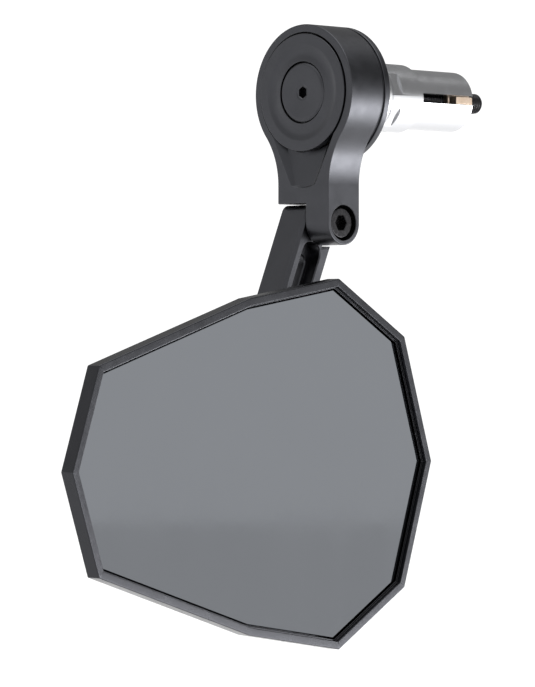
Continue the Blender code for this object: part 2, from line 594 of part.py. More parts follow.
def make_socket(mat, steel):
    joint = along_y(ball_centre())
    low = BOSS_TOP + GAP - BALL_Y
    high = low + RING_THICK
    clamp = turned("socket_ring", mat, joint, [
        (high, BOSS_RADIUS - 0.5 * MM), (high - 0.5 * MM, BOSS_RADIUS), (low, BOSS_RADIUS)]
        + sphere_arc(SEAT_RADIUS, low, high, 3)[::-1])
    for i, place in enumerate(socket_screw_places()):
        top = GAP + RING_THICK
        hole = ring(f"ring_hole_{i + 1}", None, along_y(place), -1 * MM, 5 * MM, 0.0, 1.35 * MM, 12)
        room = ring(f"ring_head_room_{i + 1}", None, along_y(place), top - 1.2 * MM, 5 * MM, 0.0,
                    2.3 * MM, 16)
        cut(clamp, as_cutter(hole))
        cut(clamp, as_cutter(room))
        frame = along_y(place) @ Matrix.Translation((0, 0, top + 0.2 * MM))
        screw = turned(f"socket_screw_{i + 1}", steel, frame, [
            (0.0, 0.0), (0.0, 1.7 * MM), (-0.25 * MM, 1.95 * MM), (-1.1 * MM, 1.95 * MM),
            (-1.1 * MM, 1.0 * MM), (-5.6 * MM, 1.0 * MM), (-5.6 * MM, 0.0)], 12)
        key = plate(f"socket_screw_key_{i + 1}", None, frame, hexagon(1.5 * MM), -0.8 * MM, 1 * MM)
        cut(screw, as_cutter(key))


def make_glass(glass_mat, foam):
    frame = head_frame()
    margin = RIM_WIDTH + RIM_STEP + 0.35 * MM
    glass = plate("mirror_glass", glass_mat, frame, inset(head_outline(), margin),
                  -GLASS_DEPTH - GLASS_THICK, -GLASS_DEPTH)
    edge_bevel(glass, 0.15 * MM)
    plate("glass_pad", foam, frame, inset(head_outline(), margin + 1.5 * MM),
          -FLOOR_DEPTH + GAP, -GLASS_DEPTH - GLASS_THICK - GAP)


def main():
    for obj in list(bpy.data.objects):
        bpy.data.objects.remove(obj, do_unlink=True)
    black = material("anodised_black", (0.052, 0.054, 0.062), 0.42, 0.85)
    silver = material("bright_aluminium", (0.78, 0.78, 0.80), 0.28, 1.0)
    brass = material("brass", (0.60, 0.47, 0.33), 0.35, 1.0)
    dark_steel = material("black_oxide_steel", (0.02, 0.02, 0.022), 0.4, 0.9)
    bronze = material("bronze", (0.35, 0.22, 0.12), 0.45, 1.0)
    polymer = material("black_acetal", (0.02, 0.02, 0.02), 0.5, 0.0)
    foam = material("adhesive_foam", (0.03, 0.03, 0.03), 0.9, 0.0)
    mirror = material("mirror_glass", (0.24, 0.25, 0.27), 0.05, 1.0)

    make_sleeve(silver)
    make_wedge(brass)
    make_clamp_bolt(dark_steel)
    make_hub(black)
    make_cap(black)
    make_hub_rings(bronze, polymer, dark_steel)
    make_upper_arm(black)
    make_knuckle(dark_steel, bronze, polymer)
    make_lower_arm(black)
    make_slider(brass, dark_steel)
    make_ball_joint(dark_steel, polymer)
    make_housing(black)
    make_socket(black, dark_steel)
    make_glass(mirror, foam)


main()
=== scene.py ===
"""Looks of the bar-end mirror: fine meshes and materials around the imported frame.

Metres, in the row frame: +X into the handlebar, -Y the rider's side, +Z up. Every piece is built about
places that the frame gives (boxes of nodes and positions of joints), and rides on its body.
"""
import json
import math

import bmesh
import bpy
from mathutils import Matrix, Vector


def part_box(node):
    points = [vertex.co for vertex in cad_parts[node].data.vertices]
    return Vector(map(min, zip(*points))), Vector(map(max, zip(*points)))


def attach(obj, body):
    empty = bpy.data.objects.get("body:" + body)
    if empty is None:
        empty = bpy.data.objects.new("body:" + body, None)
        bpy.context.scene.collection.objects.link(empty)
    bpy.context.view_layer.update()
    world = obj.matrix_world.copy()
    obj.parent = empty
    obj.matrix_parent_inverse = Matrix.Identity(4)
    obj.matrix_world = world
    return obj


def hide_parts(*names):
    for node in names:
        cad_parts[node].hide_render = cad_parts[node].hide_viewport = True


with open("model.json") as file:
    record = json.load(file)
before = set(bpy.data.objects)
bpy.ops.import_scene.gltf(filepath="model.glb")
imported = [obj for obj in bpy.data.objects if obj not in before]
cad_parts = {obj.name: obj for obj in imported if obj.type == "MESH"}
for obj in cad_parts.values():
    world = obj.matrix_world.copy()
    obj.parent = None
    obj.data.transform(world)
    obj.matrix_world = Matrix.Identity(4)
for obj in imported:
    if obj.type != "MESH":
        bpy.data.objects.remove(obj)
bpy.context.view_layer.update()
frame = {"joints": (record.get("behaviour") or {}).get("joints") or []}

MM = 0.001
GAP = 0.3 * MM

# --- places read from the frame ---------------------------------------------------------------------
JOINTS = {joint["name"]: joint for joint in frame["joints"]}
ARM_LOW, ARM_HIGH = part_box("upper_arm")
HUB_LOW, HUB_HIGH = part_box("base_hub")
SLEEVE_LOW, SLEEVE_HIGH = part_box("expander_sleeve")
WEDGE_LOW, WEDGE_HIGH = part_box("wedge_nut")
BOLT_LOW, BOLT_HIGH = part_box("clamp_bolt")
CAP_LOW, CAP_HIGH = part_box("cap_disc")
PLUG_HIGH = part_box("cap_plug")[1]
LOWER_LOW, LOWER_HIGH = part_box("lower_arm")
HEAD_LOW, HEAD_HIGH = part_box("mirror_housing")
GLASS_LOW, GLASS_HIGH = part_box("mirror_glass")
RING_LOW, RING_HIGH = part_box("socket_ring")

KNUCKLE = Vector(JOINTS["arm_fold"]["pos_m"])
BALL = Vector(JOINTS["head_yaw"]["pos_m"])
SLIDE = Vector(JOINTS["head_slide"]["axis"])
TILT = math.atan2(-SLIDE.x, -SLIDE.z)
STUD = Vector((BALL.x, 0.0, BALL.z))

ARM_FRONT, ARM_BACK = ARM_LOW.x, ARM_HIGH.x
ARM_THICK = ARM_BACK - ARM_FRONT
RING_RADIUS = ARM_HIGH.z
FLANGE_BACK = HUB_HIGH.x
FLANGE_FRONT = FLANGE_BACK - 2.1 * MM
CAP_FRONT = CAP_LOW.x
CAP_RADIUS = CAP_HIGH.z
LOWER_FACE, NECK_HALF = LOWER_LOW.y, LOWER_HIGH.y

# --- sizes inside the pieces ------------------------------------------------------------------------
SLEEVE_RADIUS = 9.8 * MM
PLUG_RADIUS = 8.7 * MM
SLOT_WIDTH = 2.7 * MM
SLOT_START = 1.6 * MM
SLOT_COUNT = 3
BOLT_CREST = 2.95 * MM
THREAD_PITCH = 1.0 * MM
HEX_ZONE = (-11.7 * MM, -8.2 * MM)
HEX_FLATS = 18.4 * MM
HEX_TURN = math.radians(-21)
RECESS_FLOOR = ARM_FRONT + 2.9 * MM
SPIGOT_RADIUS = 10.5 * MM
BUSH_RADIUS = 12.3 * MM
NECK_FILLET = 22.3 * MM
LEDGE_Z = -31.2 * MM
LAP_Y = LOWER_FACE - GAP
KNUCKLE_END_RADIUS = 5.2 * MM
LOWER_LEFT, LOWER_RIGHT = -6.3 * MM, 6.9 * MM
SHOULDER_FILLET = 2.8 * MM
NOTCH_DROP = 6.4 * MM
LOWER_END = 92.0 * MM
WIDE_SLOT, WIDE_SLOT_DEPTH, NARROW_SLOT = 6.8 * MM, 4.0 * MM, 4.4 * MM
SLOT_TOP, SLOT_BOTTOM = 9.3 * MM, 84.5 * MM
BALL_RADIUS = 4.0 * MM
SEAT_RADIUS = 5.4 * MM
HEAD_FRONT, HEAD_BACK = HEAD_LOW.y, HEAD_LOW.y + 6.4 * MM
BOSS_TOP = HEAD_HIGH.y
BOSS_RADIUS = RING_HIGH.x - BALL.x
HALF_OUTLINE = [(-81.8, 0.0), (-72.6, 27.6), (-18.1, 45.5), (16.3, 51.2), (42.5, 35.2), (53.5, 0.0)]
RIM_WIDTH, RIM_STEP, STEP_DEPTH = 2.1 * MM, 0.5 * MM, 1.4 * MM
HEAD_WALL = 4.5 * MM
FLOOR_DEPTH = 4.8 * MM
SCREW_CIRCLE = 8.7 * MM
SOCKET_SCREWS = 4
TURN_STEPS = 128
SMALL_STEPS = 64

SMOOTH_ANGLE = math.radians(32)

# --- camera and studio: heading from +X towards +Y, and millimetres from the ring's face --------------
CAMERA_HEADING = math.radians(45.568)
CAMERA_LEFT, CAMERA_DOWN, CAMERA_BACK = 9.925, 70.535, 1034.685
CAMERA_LENS, CAMERA_SENSOR, CAMERA_CLIP = 247.8, 36.0, 100.0
FLOOR_DROP, FLOOR_REACH = 1.6, 32.5


# --- local frames -----------------------------------------------------------------------------------
def along_x():
    """Local Z runs along world +X, on the bar's axis."""
    return Matrix.Rotation(math.pi / 2, 4, "Y")


def along_y(point):
    """Local Z runs along world +Y."""
    return Matrix.Translation(point) @ Matrix.Rotation(-math.pi / 2, 4, "X")


def side_plate(x):
    """Local XY is the world's YZ plane, and local Z is +X."""
    return Matrix.Translation((x, 0, 0)) @ Matrix(((0, 0, 1, 0), (1, 0, 0, 0), (0, 1, 0, 0), (0, 0, 0, 1)))


def front_plate(point, tilt=0.0):
    """Local X is +X, local Y is +Z and local Z is -Y, turned by tilt about the world's Y axis."""
    return Matrix.Translation(point) @ Matrix.Rotation(tilt, 4, "Y") @ Matrix.Rotation(math.pi / 2, 4, "X")


# --- outlines ---------------------------------------------------------------------------------------
def arc(centre, radius, start, end, steps):
    """Points on an arc, with both ends, angles in degrees."""
    turns = [math.radians(start + (end - start) * i / steps) for i in range(steps + 1)]
    return [(centre[0] + radius * math.cos(t), centre[1] + radius * math.sin(t)) for t in turns]


def hexagon(flats, turn=0.0):
    radius = flats / math.sqrt(3)
    return [(radius * math.cos(turn + i * math.pi / 3), radius * math.sin(turn + i * math.pi / 3))
            for i in range(6)]


def slot_outline(top, bottom, width, steps=24):
    """A slot with round ends, straight down local -Y, between two end centres."""
    return arc((0, -top), width / 2, 0, 180, steps) + arc((0, -bottom), width / 2, 180, 360, steps)


def filleted(points, radius, closed=True, steps=4):
    """An outline with its corners rounded; a third value on a point is that corner's own radius."""
    result = []
    for i, point in enumerate(points):
        here = Vector(point[:2])
        wanted = point[2] if len(point) > 2 else radius
        end = not closed and i in (0, len(points) - 1)
        before = Vector(points[i - 1][:2]) - here
        after = Vector(points[(i + 1) % len(points)][:2]) - here
        half = before.angle(after, math.pi) / 2
        if end or wanted == 0.0 or half > math.radians(86):
            result.append(tuple(here))
            continue
        reach = min(wanted / math.tan(half), 0.45 * before.length, 0.45 * after.length)
        bisector = (before.normalized() + after.normalized()).normalized()
        centre = here + bisector * (reach / math.cos(half))
        first = here + before.normalized() * reach - centre
        last = here + after.normalized() * reach - centre
        arm = first.length
        first, last = first.normalized(), last.normalized()
        result += [tuple(centre + first.slerp(last, k / steps) * arm) for k in range(steps + 1)]
    return result


def inset(outline, distance):
    """An outline moved inwards by one distance along every side."""
    points = [Vector(p) for p in outline]
    area = sum(a.x * b.y - b.x * a.y for a, b in zip(points, points[1:] + points[:1]))
    side = math.copysign(1.0, area)
    sides = []
    for i, start in enumerate(points):
        along = (points[(i + 1) % len(points)] - start).normalized()
        sides.append((start + Vector((-along.y, along.x)) * side * distance, along))
    result = []
    for i, (start, along) in enumerate(sides):
        before, run = sides[i - 1]
        turn = run.x * along.y - run.y * along.x
        gap = start - before
        step = (gap.x * along.y - gap.y * along.x) / turn if abs(turn) > 1e-4 else None
        result.append(tuple(start if step is None else before + run * step))
    return result


# --- solids -----------------------------------------------------------------------------------------
def new_piece(name, work, matrix):
    bmesh.ops.recalc_face_normals(work, faces=work.faces)
    mesh = bpy.data.meshes.new(name)
    work.to_mesh(mesh)
    work.free()
    piece = bpy.data.objects.new(name, mesh)
    piece.matrix_world = matrix
    bpy.context.scene.collection.objects.link(piece)
    return piece


def bridge(work, lower, upper):
    """Faces between two closed rows of vertices; a row of one vertex is a point on the axis."""
    count = max(len(lower), len(upper))
    for i in range(count):
        j = (i + 1) % count
        corners = [lower[i % len(lower)], lower[j % len(lower)], upper[j % len(upper)], upper[i % len(upper)]]
        corners = list(dict.fromkeys(corners))
        if len(corners) > 2:
            work.faces.new(corners)


def lathe(name, matrix, profile, edge=0.15 * MM, steps=TURN_STEPS, shape=None):
    """A turned piece from (along, radius) points; shape(along, radius, turn) may vary the radius."""
    solid = profile[0][1] == 0.0
    work = bmesh.new()
    rows = []
    for along, radius in filleted(profile, edge, closed=not solid):
        turns = [2 * math.pi * i / steps for i in range(steps)] if radius > 0.0 else [0.0]
        radii = [shape(along, radius, t) if shape and radius > 0.0 else radius for t in turns]
        rows.append([work.verts.new((r * math.cos(t), r * math.sin(t), along)) for r, t in zip(radii, turns)])
    for lower, upper in zip(rows, rows[1:] + ([] if solid else rows[:1])):
        bridge(work, lower, upper)
    return new_piece(name, work, matrix)


def loft(name, matrix, rings):
    """A closed solid through rings of equally many points, with flat ends."""
    work = bmesh.new()
    rows = [[work.verts.new(point) for point in points] for points in rings]
    for lower, upper in zip(rows, rows[1:]):
        bridge(work, lower, upper)
    work.faces.new(rows[0])
    work.faces.new(rows[-1])
    return new_piece(name, work, matrix)


def stack(name, matrix, outline, levels, corner=0.0):
    """A prism whose outline is inset at each level: levels hold (height, inset)."""
    rings = []
    for height, amount in levels:
        points = inset(outline, amount) if amount else outline
        rings.append([(x, y, height) for x, y in (filleted(points, corner) if corner else points)])
    return loft(name, matrix, rings)


def soft_levels(low, high, low_edge, high_edge, steps=4):
    """Levels of a prism with rounded (positive) or flared (negative) lower and upper edges."""
    quarter = [math.pi / 2 * i / steps for i in range(steps + 1)]
    bottom = [(low + abs(low_edge) * (1 - math.sin(t)), low_edge * (1 - math.cos(t))) for t in quarter[::-1]]
    top = [(high - abs(high_edge) * (1 - math.sin(t)), high_edge * (1 - math.cos(t))) for t in quarter]
    return (bottom if low_edge else [(low, 0.0)]) + (top if high_edge else [(high, 0.0)])


def settle(piece):
    """Replace a piece's mesh by what its modifiers make of it."""
    bpy.context.view_layer.update()
    mesh = bpy.data.meshes.new_from_object(piece.evaluated_get(bpy.context.evaluated_depsgraph_get()))
    piece.modifiers.clear()
    piece.data = mesh
    return piece


def carve(piece, *cutters, operation="DIFFERENCE"):
    for cutter in cutters:
        modifier = piece.modifiers.new(cutter.name, "BOOLEAN")
        modifier.operation = operation
        modifier.solver = "EXACT"
        modifier.object = cutter
    settle(piece)
    for cutter in cutters:
        bpy.data.objects.remove(cutter)
    return piece


def round_edges(piece, width, segments=3, angle=40):
    bevel = piece.modifiers.new("edges", "BEVEL")
    bevel.width = width
    bevel.segments = segments
    bevel.limit_method = "ANGLE"
    bevel.angle_limit = math.radians(angle)
    return settle(piece)


def bore(matrix, low, high, radius, lip=0.0, steps=TURN_STEPS):
    """A round cutter whose mouth at high flares by lip and then runs on outwards."""
    past = 1 * MM
    side = [(high + past, radius + lip), (high, radius + lip), (high - lip, radius)] if lip else [
        (high + past, radius)]
    profile = [(high + past, 0.0)] + side + [(low, radius), (low, 0.0)]
    return lathe("bore", matrix, profile, edge=0.0, steps=steps)


def key_socket(matrix, flats, depth, chamfer=0.2 * MM):
    """A hexagon cutter from the plane at local 0 downwards, with a chamfered mouth and a flat end."""
    levels = [(-depth, 0.0), (-chamfer, 0.0), (0.0, -chamfer), (1 * MM, -chamfer)]
    return stack("key", matrix, hexagon(flats), levels)


def place(piece, body, look, nodes=None, rounded=True):
    """Shade a piece, dress it, tie it to its body and hide the CAD nodes that it stands for."""
    piece.data.materials.clear()
    piece.data.materials.append(look)
    piece.data.shade_smooth()
    piece.data.set_sharp_from_angle(angle=SMOOTH_ANGLE)
    if rounded:
        weighted = piece.modifiers.new("even_shading", "WEIGHTED_NORMAL")
        weighted.weight = 80
        weighted.keep_sharp = True
    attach(piece, body)
    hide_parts(*(nodes or [piece.name.removeprefix("fine_")]))
    return piece


def outboard():
    """Local Z runs along world -X, on the bar's axis, so a plane at x is at local -x."""
    return Matrix.Rotation(-math.pi / 2, 4, "Y")


# --- node helpers -----------------------------------------------------------------------------------
class Look:
    """A material whose Principled shader is fed by small chains of nodes in the piece's own space."""

    def __init__(self, name, colour, roughness, metallic):
        self.mat = bpy.data.materials.new(name)
        self.mat.use_nodes = True
        self.tree = self.mat.node_tree
        self.shader = self.tree.nodes["Principled BSDF"]
        self.shader.inputs["Base Color"].default_value = (*colour, 1.0)
        self.shader.inputs["Roughness"].default_value = roughness
        self.shader.inputs["Metallic"].default_value = metallic
        self.colour = colour
        self.roughness = roughness
        self.place = self.node("ShaderNodeTexCoord").outputs["Object"]

    def node(self, kind, inputs=None, **settings):
        made = self.tree.nodes.new(kind)
        for key, value in settings.items():
            setattr(made, key, value)
        for key, value in (inputs or {}).items():
            if isinstance(value, bpy.types.NodeSocket):
                self.tree.links.new(value, made.inputs[key])
            else:
                made.inputs[key].default_value = value
        return made

    def maths(self, operation, first, second=0.0):
        return self.node("ShaderNodeMath", {0: first, 1: second}, operation=operation).outputs[0]

    def noise(self, size, detail=3.0, rough=0.55, vector=None):
        """Noise with features of about the given size in metres, from 0 to 1."""
        inputs = {"Vector": vector or self.place, "Scale": 1.0 / size, "Detail": detail, "Roughness": rough}
        return self.node("ShaderNodeTexNoise", inputs).outputs["Fac"]

    def spread(self, value, low, high, start=0.3, end=0.7):
        inputs = {"Value": value, "From Min": start, "From Max": end, "To Min": low, "To Max": high}
        return self.node("ShaderNodeMapRange", inputs).outputs["Result"]

    def radius(self):
        """Distance from the piece's own Z axis."""
        flat = self.node("ShaderNodeVectorMath", {0: self.place, 1: (1.0, 1.0, 0.0)}, operation="MULTIPLY")
        length = self.node("ShaderNodeVectorMath", {0: flat.outputs["Vector"]}, operation="LENGTH")
        return length.outputs["Value"]

    def lathe_lines(self, pitch):
        """Uneven circular tool marks about the piece's own Z axis, from 0 to 1."""
        along = self.node("ShaderNodeSeparateXYZ", {"Vector": self.place}).outputs["Z"]
        reach = self.maths("ADD", self.radius(), self.maths("MULTIPLY", along, 0.83))
        inputs = {"W": reach, "Scale": 1.0 / pitch, "Detail": 2.0, "Roughness": 0.7}
        return self.node("ShaderNodeTexNoise", inputs, noise_dimensions="1D").outputs["Fac"]

    def edges(self, reach):
        """How near a sharp edge is, from 0 on a flat to 1 on the edge itself."""
        soft = self.node("ShaderNodeBevel", {"Radius": reach}, samples=4).outputs["Normal"]
        hard = self.node("ShaderNodeNewGeometry").outputs["Normal"]
        match = self.node("ShaderNodeVectorMath", {0: soft, 1: hard}, operation="DOT_PRODUCT")
        return self.spread(match.outputs["Value"], 1.0, 0.0, 0.80, 0.99)

    def bump(self, height, depth, strength=1.0):
        """Adds relief of the given depth in metres, on top of any relief set before."""
        inputs = {"Height": height, "Distance": depth, "Strength": strength}
        before = self.shader.inputs["Normal"]
        if before.is_linked:
            inputs["Normal"] = before.links[0].from_socket
        made = self.node("ShaderNodeBump", inputs)
        self.tree.links.new(made.outputs["Normal"], before)

    def tint(self, factor, other):
        """Mixes the base colour towards another one by a factor from 0 to 1."""
        before = self.shader.inputs["Base Color"]
        first = before.links[0].from_socket if before.is_linked else (*self.colour, 1.0)
        mix = self.node("ShaderNodeMix", {"Factor": factor}, data_type="RGBA")
        if isinstance(first, tuple):
            mix.inputs[6].default_value = first
        else:
            self.tree.links.new(first, mix.inputs[6])
        mix.inputs[7].default_value = (*other, 1.0)
        self.tree.links.new(mix.outputs[2], before)

    def vary_roughness(self, value, amount, start=0.3, end=0.7):
        low, high = self.roughness - amount, self.roughness + amount
        self.tree.links.new(self.spread(value, low, high, start, end), self.shader.inputs["Roughness"])


# --- materials --------------------------------------------------------------------------------------
def anodised(name, lathe_pitch=None, depth=1.0, roughness=0.36):
    """Bead-blasted aluminium under black anodising: fine pits, faint blotches and paler worn edges. A depth
    below 1 darkens the colour and the worn edges' colour as painted shade.
    """
    # depth below 1 scales the colour down: painted shade, used for the head's copy
    look = Look(name, tuple(depth * c for c in (0.049, 0.050, 0.055)), roughness, 1.0)
    look.tint(look.spread(look.noise(9 * MM), 0.0, 0.35), tuple(depth * c for c in (0.060, 0.061, 0.068)))
    look.tint(look.maths("MULTIPLY", look.edges(0.25 * MM), look.spread(look.noise(1.2 * MM), 0.1, 0.55)),
              tuple(depth ** 3 * c for c in (0.16, 0.16, 0.17)))
    look.vary_roughness(look.noise(4 * MM, detail=5.0), 0.05)
    look.bump(look.noise(0.16 * MM, detail=4.0, rough=0.7), 0.010 * MM)
    if lathe_pitch:
        look.bump(look.lathe_lines(lathe_pitch), 0.006 * MM)
    return look.mat


def turned_aluminium():
    """Bright turned aluminium: tool marks round the axis and a little haze."""
    look = Look("bright_turned_aluminium", (0.60, 0.605, 0.62), 0.21, 1.0)
    lines = look.lathe_lines(0.11 * MM)
    look.vary_roughness(look.noise(3 * MM, detail=4.0), 0.025)
    look.tint(look.spread(lines, 0.0, 0.4), (0.54, 0.54, 0.56))
    look.bump(lines, 0.0025 * MM)
    look.shader.inputs["Anisotropic"].default_value = 0.3
    tangent = look.node("ShaderNodeTangent", direction_type="RADIAL", axis="Z")
    look.tree.links.new(tangent.outputs["Tangent"], look.shader.inputs["Tangent"])
    return look.mat


def plain_metal(name, colour, other, roughness, grain, relief, metallic=1.0):
    """Machined or blackened metal with grain of a given size, blotches and paler edges."""
    look = Look(name, colour, roughness, metallic)
    look.tint(look.spread(look.noise(2.2 * MM, detail=5.0), 0.0, 0.7), other)
    worn = tuple(min(1.0, 2.2 * c + 0.03) for c in colour)
    look.tint(look.maths("MULTIPLY", look.edges(0.2 * MM), 0.35), worn)
    look.vary_roughness(look.noise(1.1 * MM), 0.06)
    look.bump(look.noise(grain, detail=4.0, rough=0.65), relief)
    return look.mat


def sintered_bronze():
    """Pressed bronze powder: rounded grains with small dark pores between them."""
    look = Look("sintered_bronze", (0.40, 0.26, 0.15), 0.45, 1.0)
    cells = look.node("ShaderNodeTexVoronoi", {"Vector": look.place, "Scale": 1.0 / (0.22 * MM)})
    pores = look.spread(cells.outputs["Distance"], 0.0, 1.0, 0.35, 0.75)
    look.tint(pores, (0.12, 0.075, 0.045))
    look.vary_roughness(look.noise(1 * MM), 0.08)
    look.bump(cells.outputs["Distance"], 0.02 * MM, 0.7)
    return look.mat


def polymer():
    """Turned black acetal with faint tool marks."""
    look = Look("black_acetal", (0.022, 0.022, 0.024), 0.42, 0.0)
    look.tint(look.spread(look.noise(2 * MM), 0.0, 0.6), (0.03, 0.03, 0.032))
    look.vary_roughness(look.noise(0.8 * MM), 0.07)
    look.bump(look.lathe_lines(0.15 * MM), 0.008 * MM)
    return look.mat


def foam():
    """Closed-cell foam tape."""
    look = Look("foam_tape", (0.03, 0.03, 0.032), 0.92, 0.0)
    cells = look.node("ShaderNodeTexVoronoi", {"Vector": look.place, "Scale": 1.0 / (0.35 * MM)})
    look.tint(look.spread(cells.outputs["Distance"], 0.0, 0.6), (0.055, 0.055, 0.058))
    look.bump(cells.outputs["Distance"], 0.08 * MM)
    return look.mat


def tinted_mirror():
    """Grey anti-glare mirror: even silvering with a trace of haze and wipe marks in its gloss."""
    look = Look("tinted_mirror", (0.160, 0.168, 0.181), 0.045, 1.0)
    look.tint(look.spread(look.noise(30 * MM, detail=2.0), 0.0, 0.25), (0.168, 0.176, 0.189))
    stretch = look.node("ShaderNodeMapping", {"Vector": look.place, "Scale": (1.0, 0.25, 1.0)})
    wipes = look.noise(14 * MM, detail=6.0, vector=stretch.outputs["Vector"])
    look.vary_roughness(wipes, 0.02)
    look.bump(look.noise(45 * MM, detail=0.0), 0.004 * MM)
    return look.mat


def make_materials():
    """One look for each slot, a second one for anodised pieces that are finished on a lathe, and a darker,
    glossier copy for the head whose darker colour is painted shade.
    """
    return {
        "anodised_black": anodised("black_anodised"),
        "anodised_turned": anodised("black_anodised_turned", 0.22 * MM),
        # the head's copy of the black anodising is darkened by depth 0.72: painted shade
        "anodised_head_painted_shade": anodised("black_anodised_head", depth=0.72, roughness=0.25),
        "bright_aluminium": turned_aluminium(),
        "brass": plain_metal("brass", (0.50, 0.41, 0.33), (0.36, 0.27, 0.20), 0.34, 0.12 * MM, 0.02 * MM),
        "bronze": sintered_bronze(),
        "black_steel": plain_metal("black_oxide_steel", (0.020, 0.020, 0.022), (0.032, 0.031, 0.032), 0.28,
                                   0.07 * MM, 0.005 * MM, 0.9),
        "black_polymer": polymer(),
        "adhesive_foam": foam(),
        "tinted_mirror": tinted_mirror(),
    }


# --- threads ----------------------------------------------------------------------------------------
def groove_at(along, turn, pitch):
    """How deep a helical groove is at a station and an angle, from 0 on the crest to 1 at the root."""
    phase = (along / pitch - turn / (2 * math.pi)) % 1.0
    return 1.0 - min(1.0, 1.2 * abs(2 * phase - 1))


def cut_thread(start, shank, pitch, depth, tip_start):
    """A lathe shape for a thread that runs from start towards local -Z and tapers beyond tip_start."""
    def thread(along, radius, turn):
        if along > start or abs(radius - shank) > 1e-6:
            return radius
        groove = groove_at(along, turn, pitch)
        tip = max(0.0, tip_start - along)
        return min(radius - depth * groove * min(1.0, (start - along) / pitch), shank - 0.8 * tip)
    return thread


# --- the bar clamp ----------------------------------------------------------------------------------
def make_sleeve(looks):
    start, end = SLEEVE_LOW.x, SLEEVE_HIGH.x
    inner = 3.35 * MM
    sleeve = lathe("fine_expander_sleeve", along_x(), [
        (end, PLUG_RADIUS, 0.3 * MM), (0.0, PLUG_RADIUS, 0.08 * MM), (0.0, SLEEVE_RADIUS, 0.15 * MM),
        (HEX_ZONE[0] - 0.1 * MM, SLEEVE_RADIUS, 0.0), (-14.2 * MM, SLEEVE_HIGH.z, 0.6 * MM),
        (start, SLEEVE_HIGH.z), (start, inner), (SLOT_START - 1 * MM, inner), (SLOT_START, 5.0 * MM),
        (11.6 * MM, 5.2 * MM), (end, 7.4 * MM)])
    blank = lathe("hex_blank", along_x(), [(HEX_ZONE[1], 0.0), (HEX_ZONE[1], 14 * MM),
                                           (HEX_ZONE[0], 14 * MM), (HEX_ZONE[0], 0.0)], edge=0.0)
    core = stack("hex_core", along_x(), hexagon(HEX_FLATS, HEX_TURN),
                 [(HEX_ZONE[0] - 1 * MM, 0.0), (HEX_ZONE[1] + 1 * MM, 0.0)], corner=0.25 * MM)
    carve(blank, core)
    carve(sleeve, blank)
    half = SLOT_WIDTH / 2
    box = [(SLOT_START, -half), (end + 2 * MM, -half), (end + 2 * MM, half), (SLOT_START, half)]
    cutters = []
    for i in range(SLOT_COUNT):
        turn = Matrix.Rotation(i * 2 * math.pi / SLOT_COUNT, 4, "X")
        cutters.append(stack(f"slot_{i + 1}", turn @ front_plate((0, 0, 0)), box,
                             [(4.0 * MM, 0.0), (12 * MM, 0.0)], corner=0.12 * MM))
    carve(sleeve, *cutters)
    place(sleeve, "bar_clamp", looks["bright_aluminium"])


def make_wedge(looks):
    start, end = WEDGE_LOW.x, WEDGE_HIGH.x
    hole = BOLT_CREST + GAP
    wedge = lathe("fine_wedge_nut", along_x(), [
        (end, 7.0 * MM, 0.4 * MM), (start + 0.6 * MM, 5.65 * MM, 0.2 * MM), (start, 5.05 * MM, 0.1 * MM),
        (start, hole), (end, hole)])
    half = SLOT_WIDTH / 2 - GAP
    box = [(start + GAP, -half), (end - GAP, -half), (end - GAP, half), (start + GAP, half)]
    keys = []
    for i in range(SLOT_COUNT):
        turn = Matrix.Rotation(i * 2 * math.pi / SLOT_COUNT, 4, "X")
        levels = soft_levels(4.5 * MM, 8.1 * MM, 0.0, 0.15 * MM)
        keys.append(stack(f"key_{i + 1}", turn @ front_plate((0, 0, 0)), box, levels))
    carve(wedge, *keys, operation="UNION")
    place(wedge, "bar_clamp", looks["brass"])


def make_clamp_bolt(looks):
    head_front, head_back, end = BOLT_LOW.x, -26.8 * MM, BOLT_HIGH.x
    thread_start = 0.2 * MM
    depth = 0.5 * MM
    stations = 12

    def thread(along, radius, turn):
        """A helical groove that fades out at the bolt's plain shank and at its chamfered end."""
        if along <= thread_start or radius < BOLT_CREST - 1e-6:
            return radius
        groove = groove_at(along, turn, THREAD_PITCH)
        fade = min(1.0, (along - thread_start) / THREAD_PITCH)
        tip = max(0.0, along - (end - 0.9 * MM))
        return min(radius - depth * groove * fade, BOLT_CREST - 0.75 * tip)

    count = round((end - thread_start) / THREAD_PITCH * stations)
    threads = [(end - (end - thread_start) * i / count, BOLT_CREST, 0.0) for i in range(count + 1)]
    bolt = lathe("fine_clamp_bolt", along_x(), [(end, 0.0)] + threads + [
        (head_back, BOLT_CREST, 0.2 * MM), (head_back, 4.9 * MM, 0.15 * MM),
        (head_front, 4.9 * MM, 0.4 * MM), (head_front, 0.0)], steps=SMALL_STEPS, shape=thread)
    carve(bolt, key_socket(outboard() @ Matrix.Translation((0, 0, -head_front)), 5 * MM, 3 * MM))
    place(bolt, "bar_clamp", looks["black_steel"])


def make_hub(looks):
    mouth = HUB_LOW.x
    register = HUB_HIGH.x - 0.5 * MM
    seat = HUB_HIGH.x - 2.0 * MM
    hole = BOLT_CREST + GAP
    hub = lathe("fine_base_hub", along_x(), [
        (FLANGE_BACK, RING_RADIUS, 0.4 * MM), (FLANGE_FRONT, RING_RADIUS, 0.3 * MM),
        (FLANGE_FRONT, 18.6 * MM, 0.1 * MM), (FLANGE_FRONT - 0.7 * MM, 18.6 * MM, 0.1 * MM),
        (FLANGE_FRONT - 0.7 * MM, 17.9 * MM), (FLANGE_FRONT, 17.9 * MM, 0.05 * MM),
        (FLANGE_FRONT, SPIGOT_RADIUS), (mouth, SPIGOT_RADIUS, 0.25 * MM), (mouth, 8.3 * MM),
        (mouth + 3.6 * MM, 8.3 * MM), (mouth + 3.6 * MM, 5.3 * MM), (seat, 5.3 * MM), (seat, hole),
        (register, hole), (register, SLEEVE_HIGH.z + GAP), (FLANGE_BACK, SLEEVE_HIGH.z + GAP)])
    place(hub, "bar_clamp", looks["anodised_turned"])


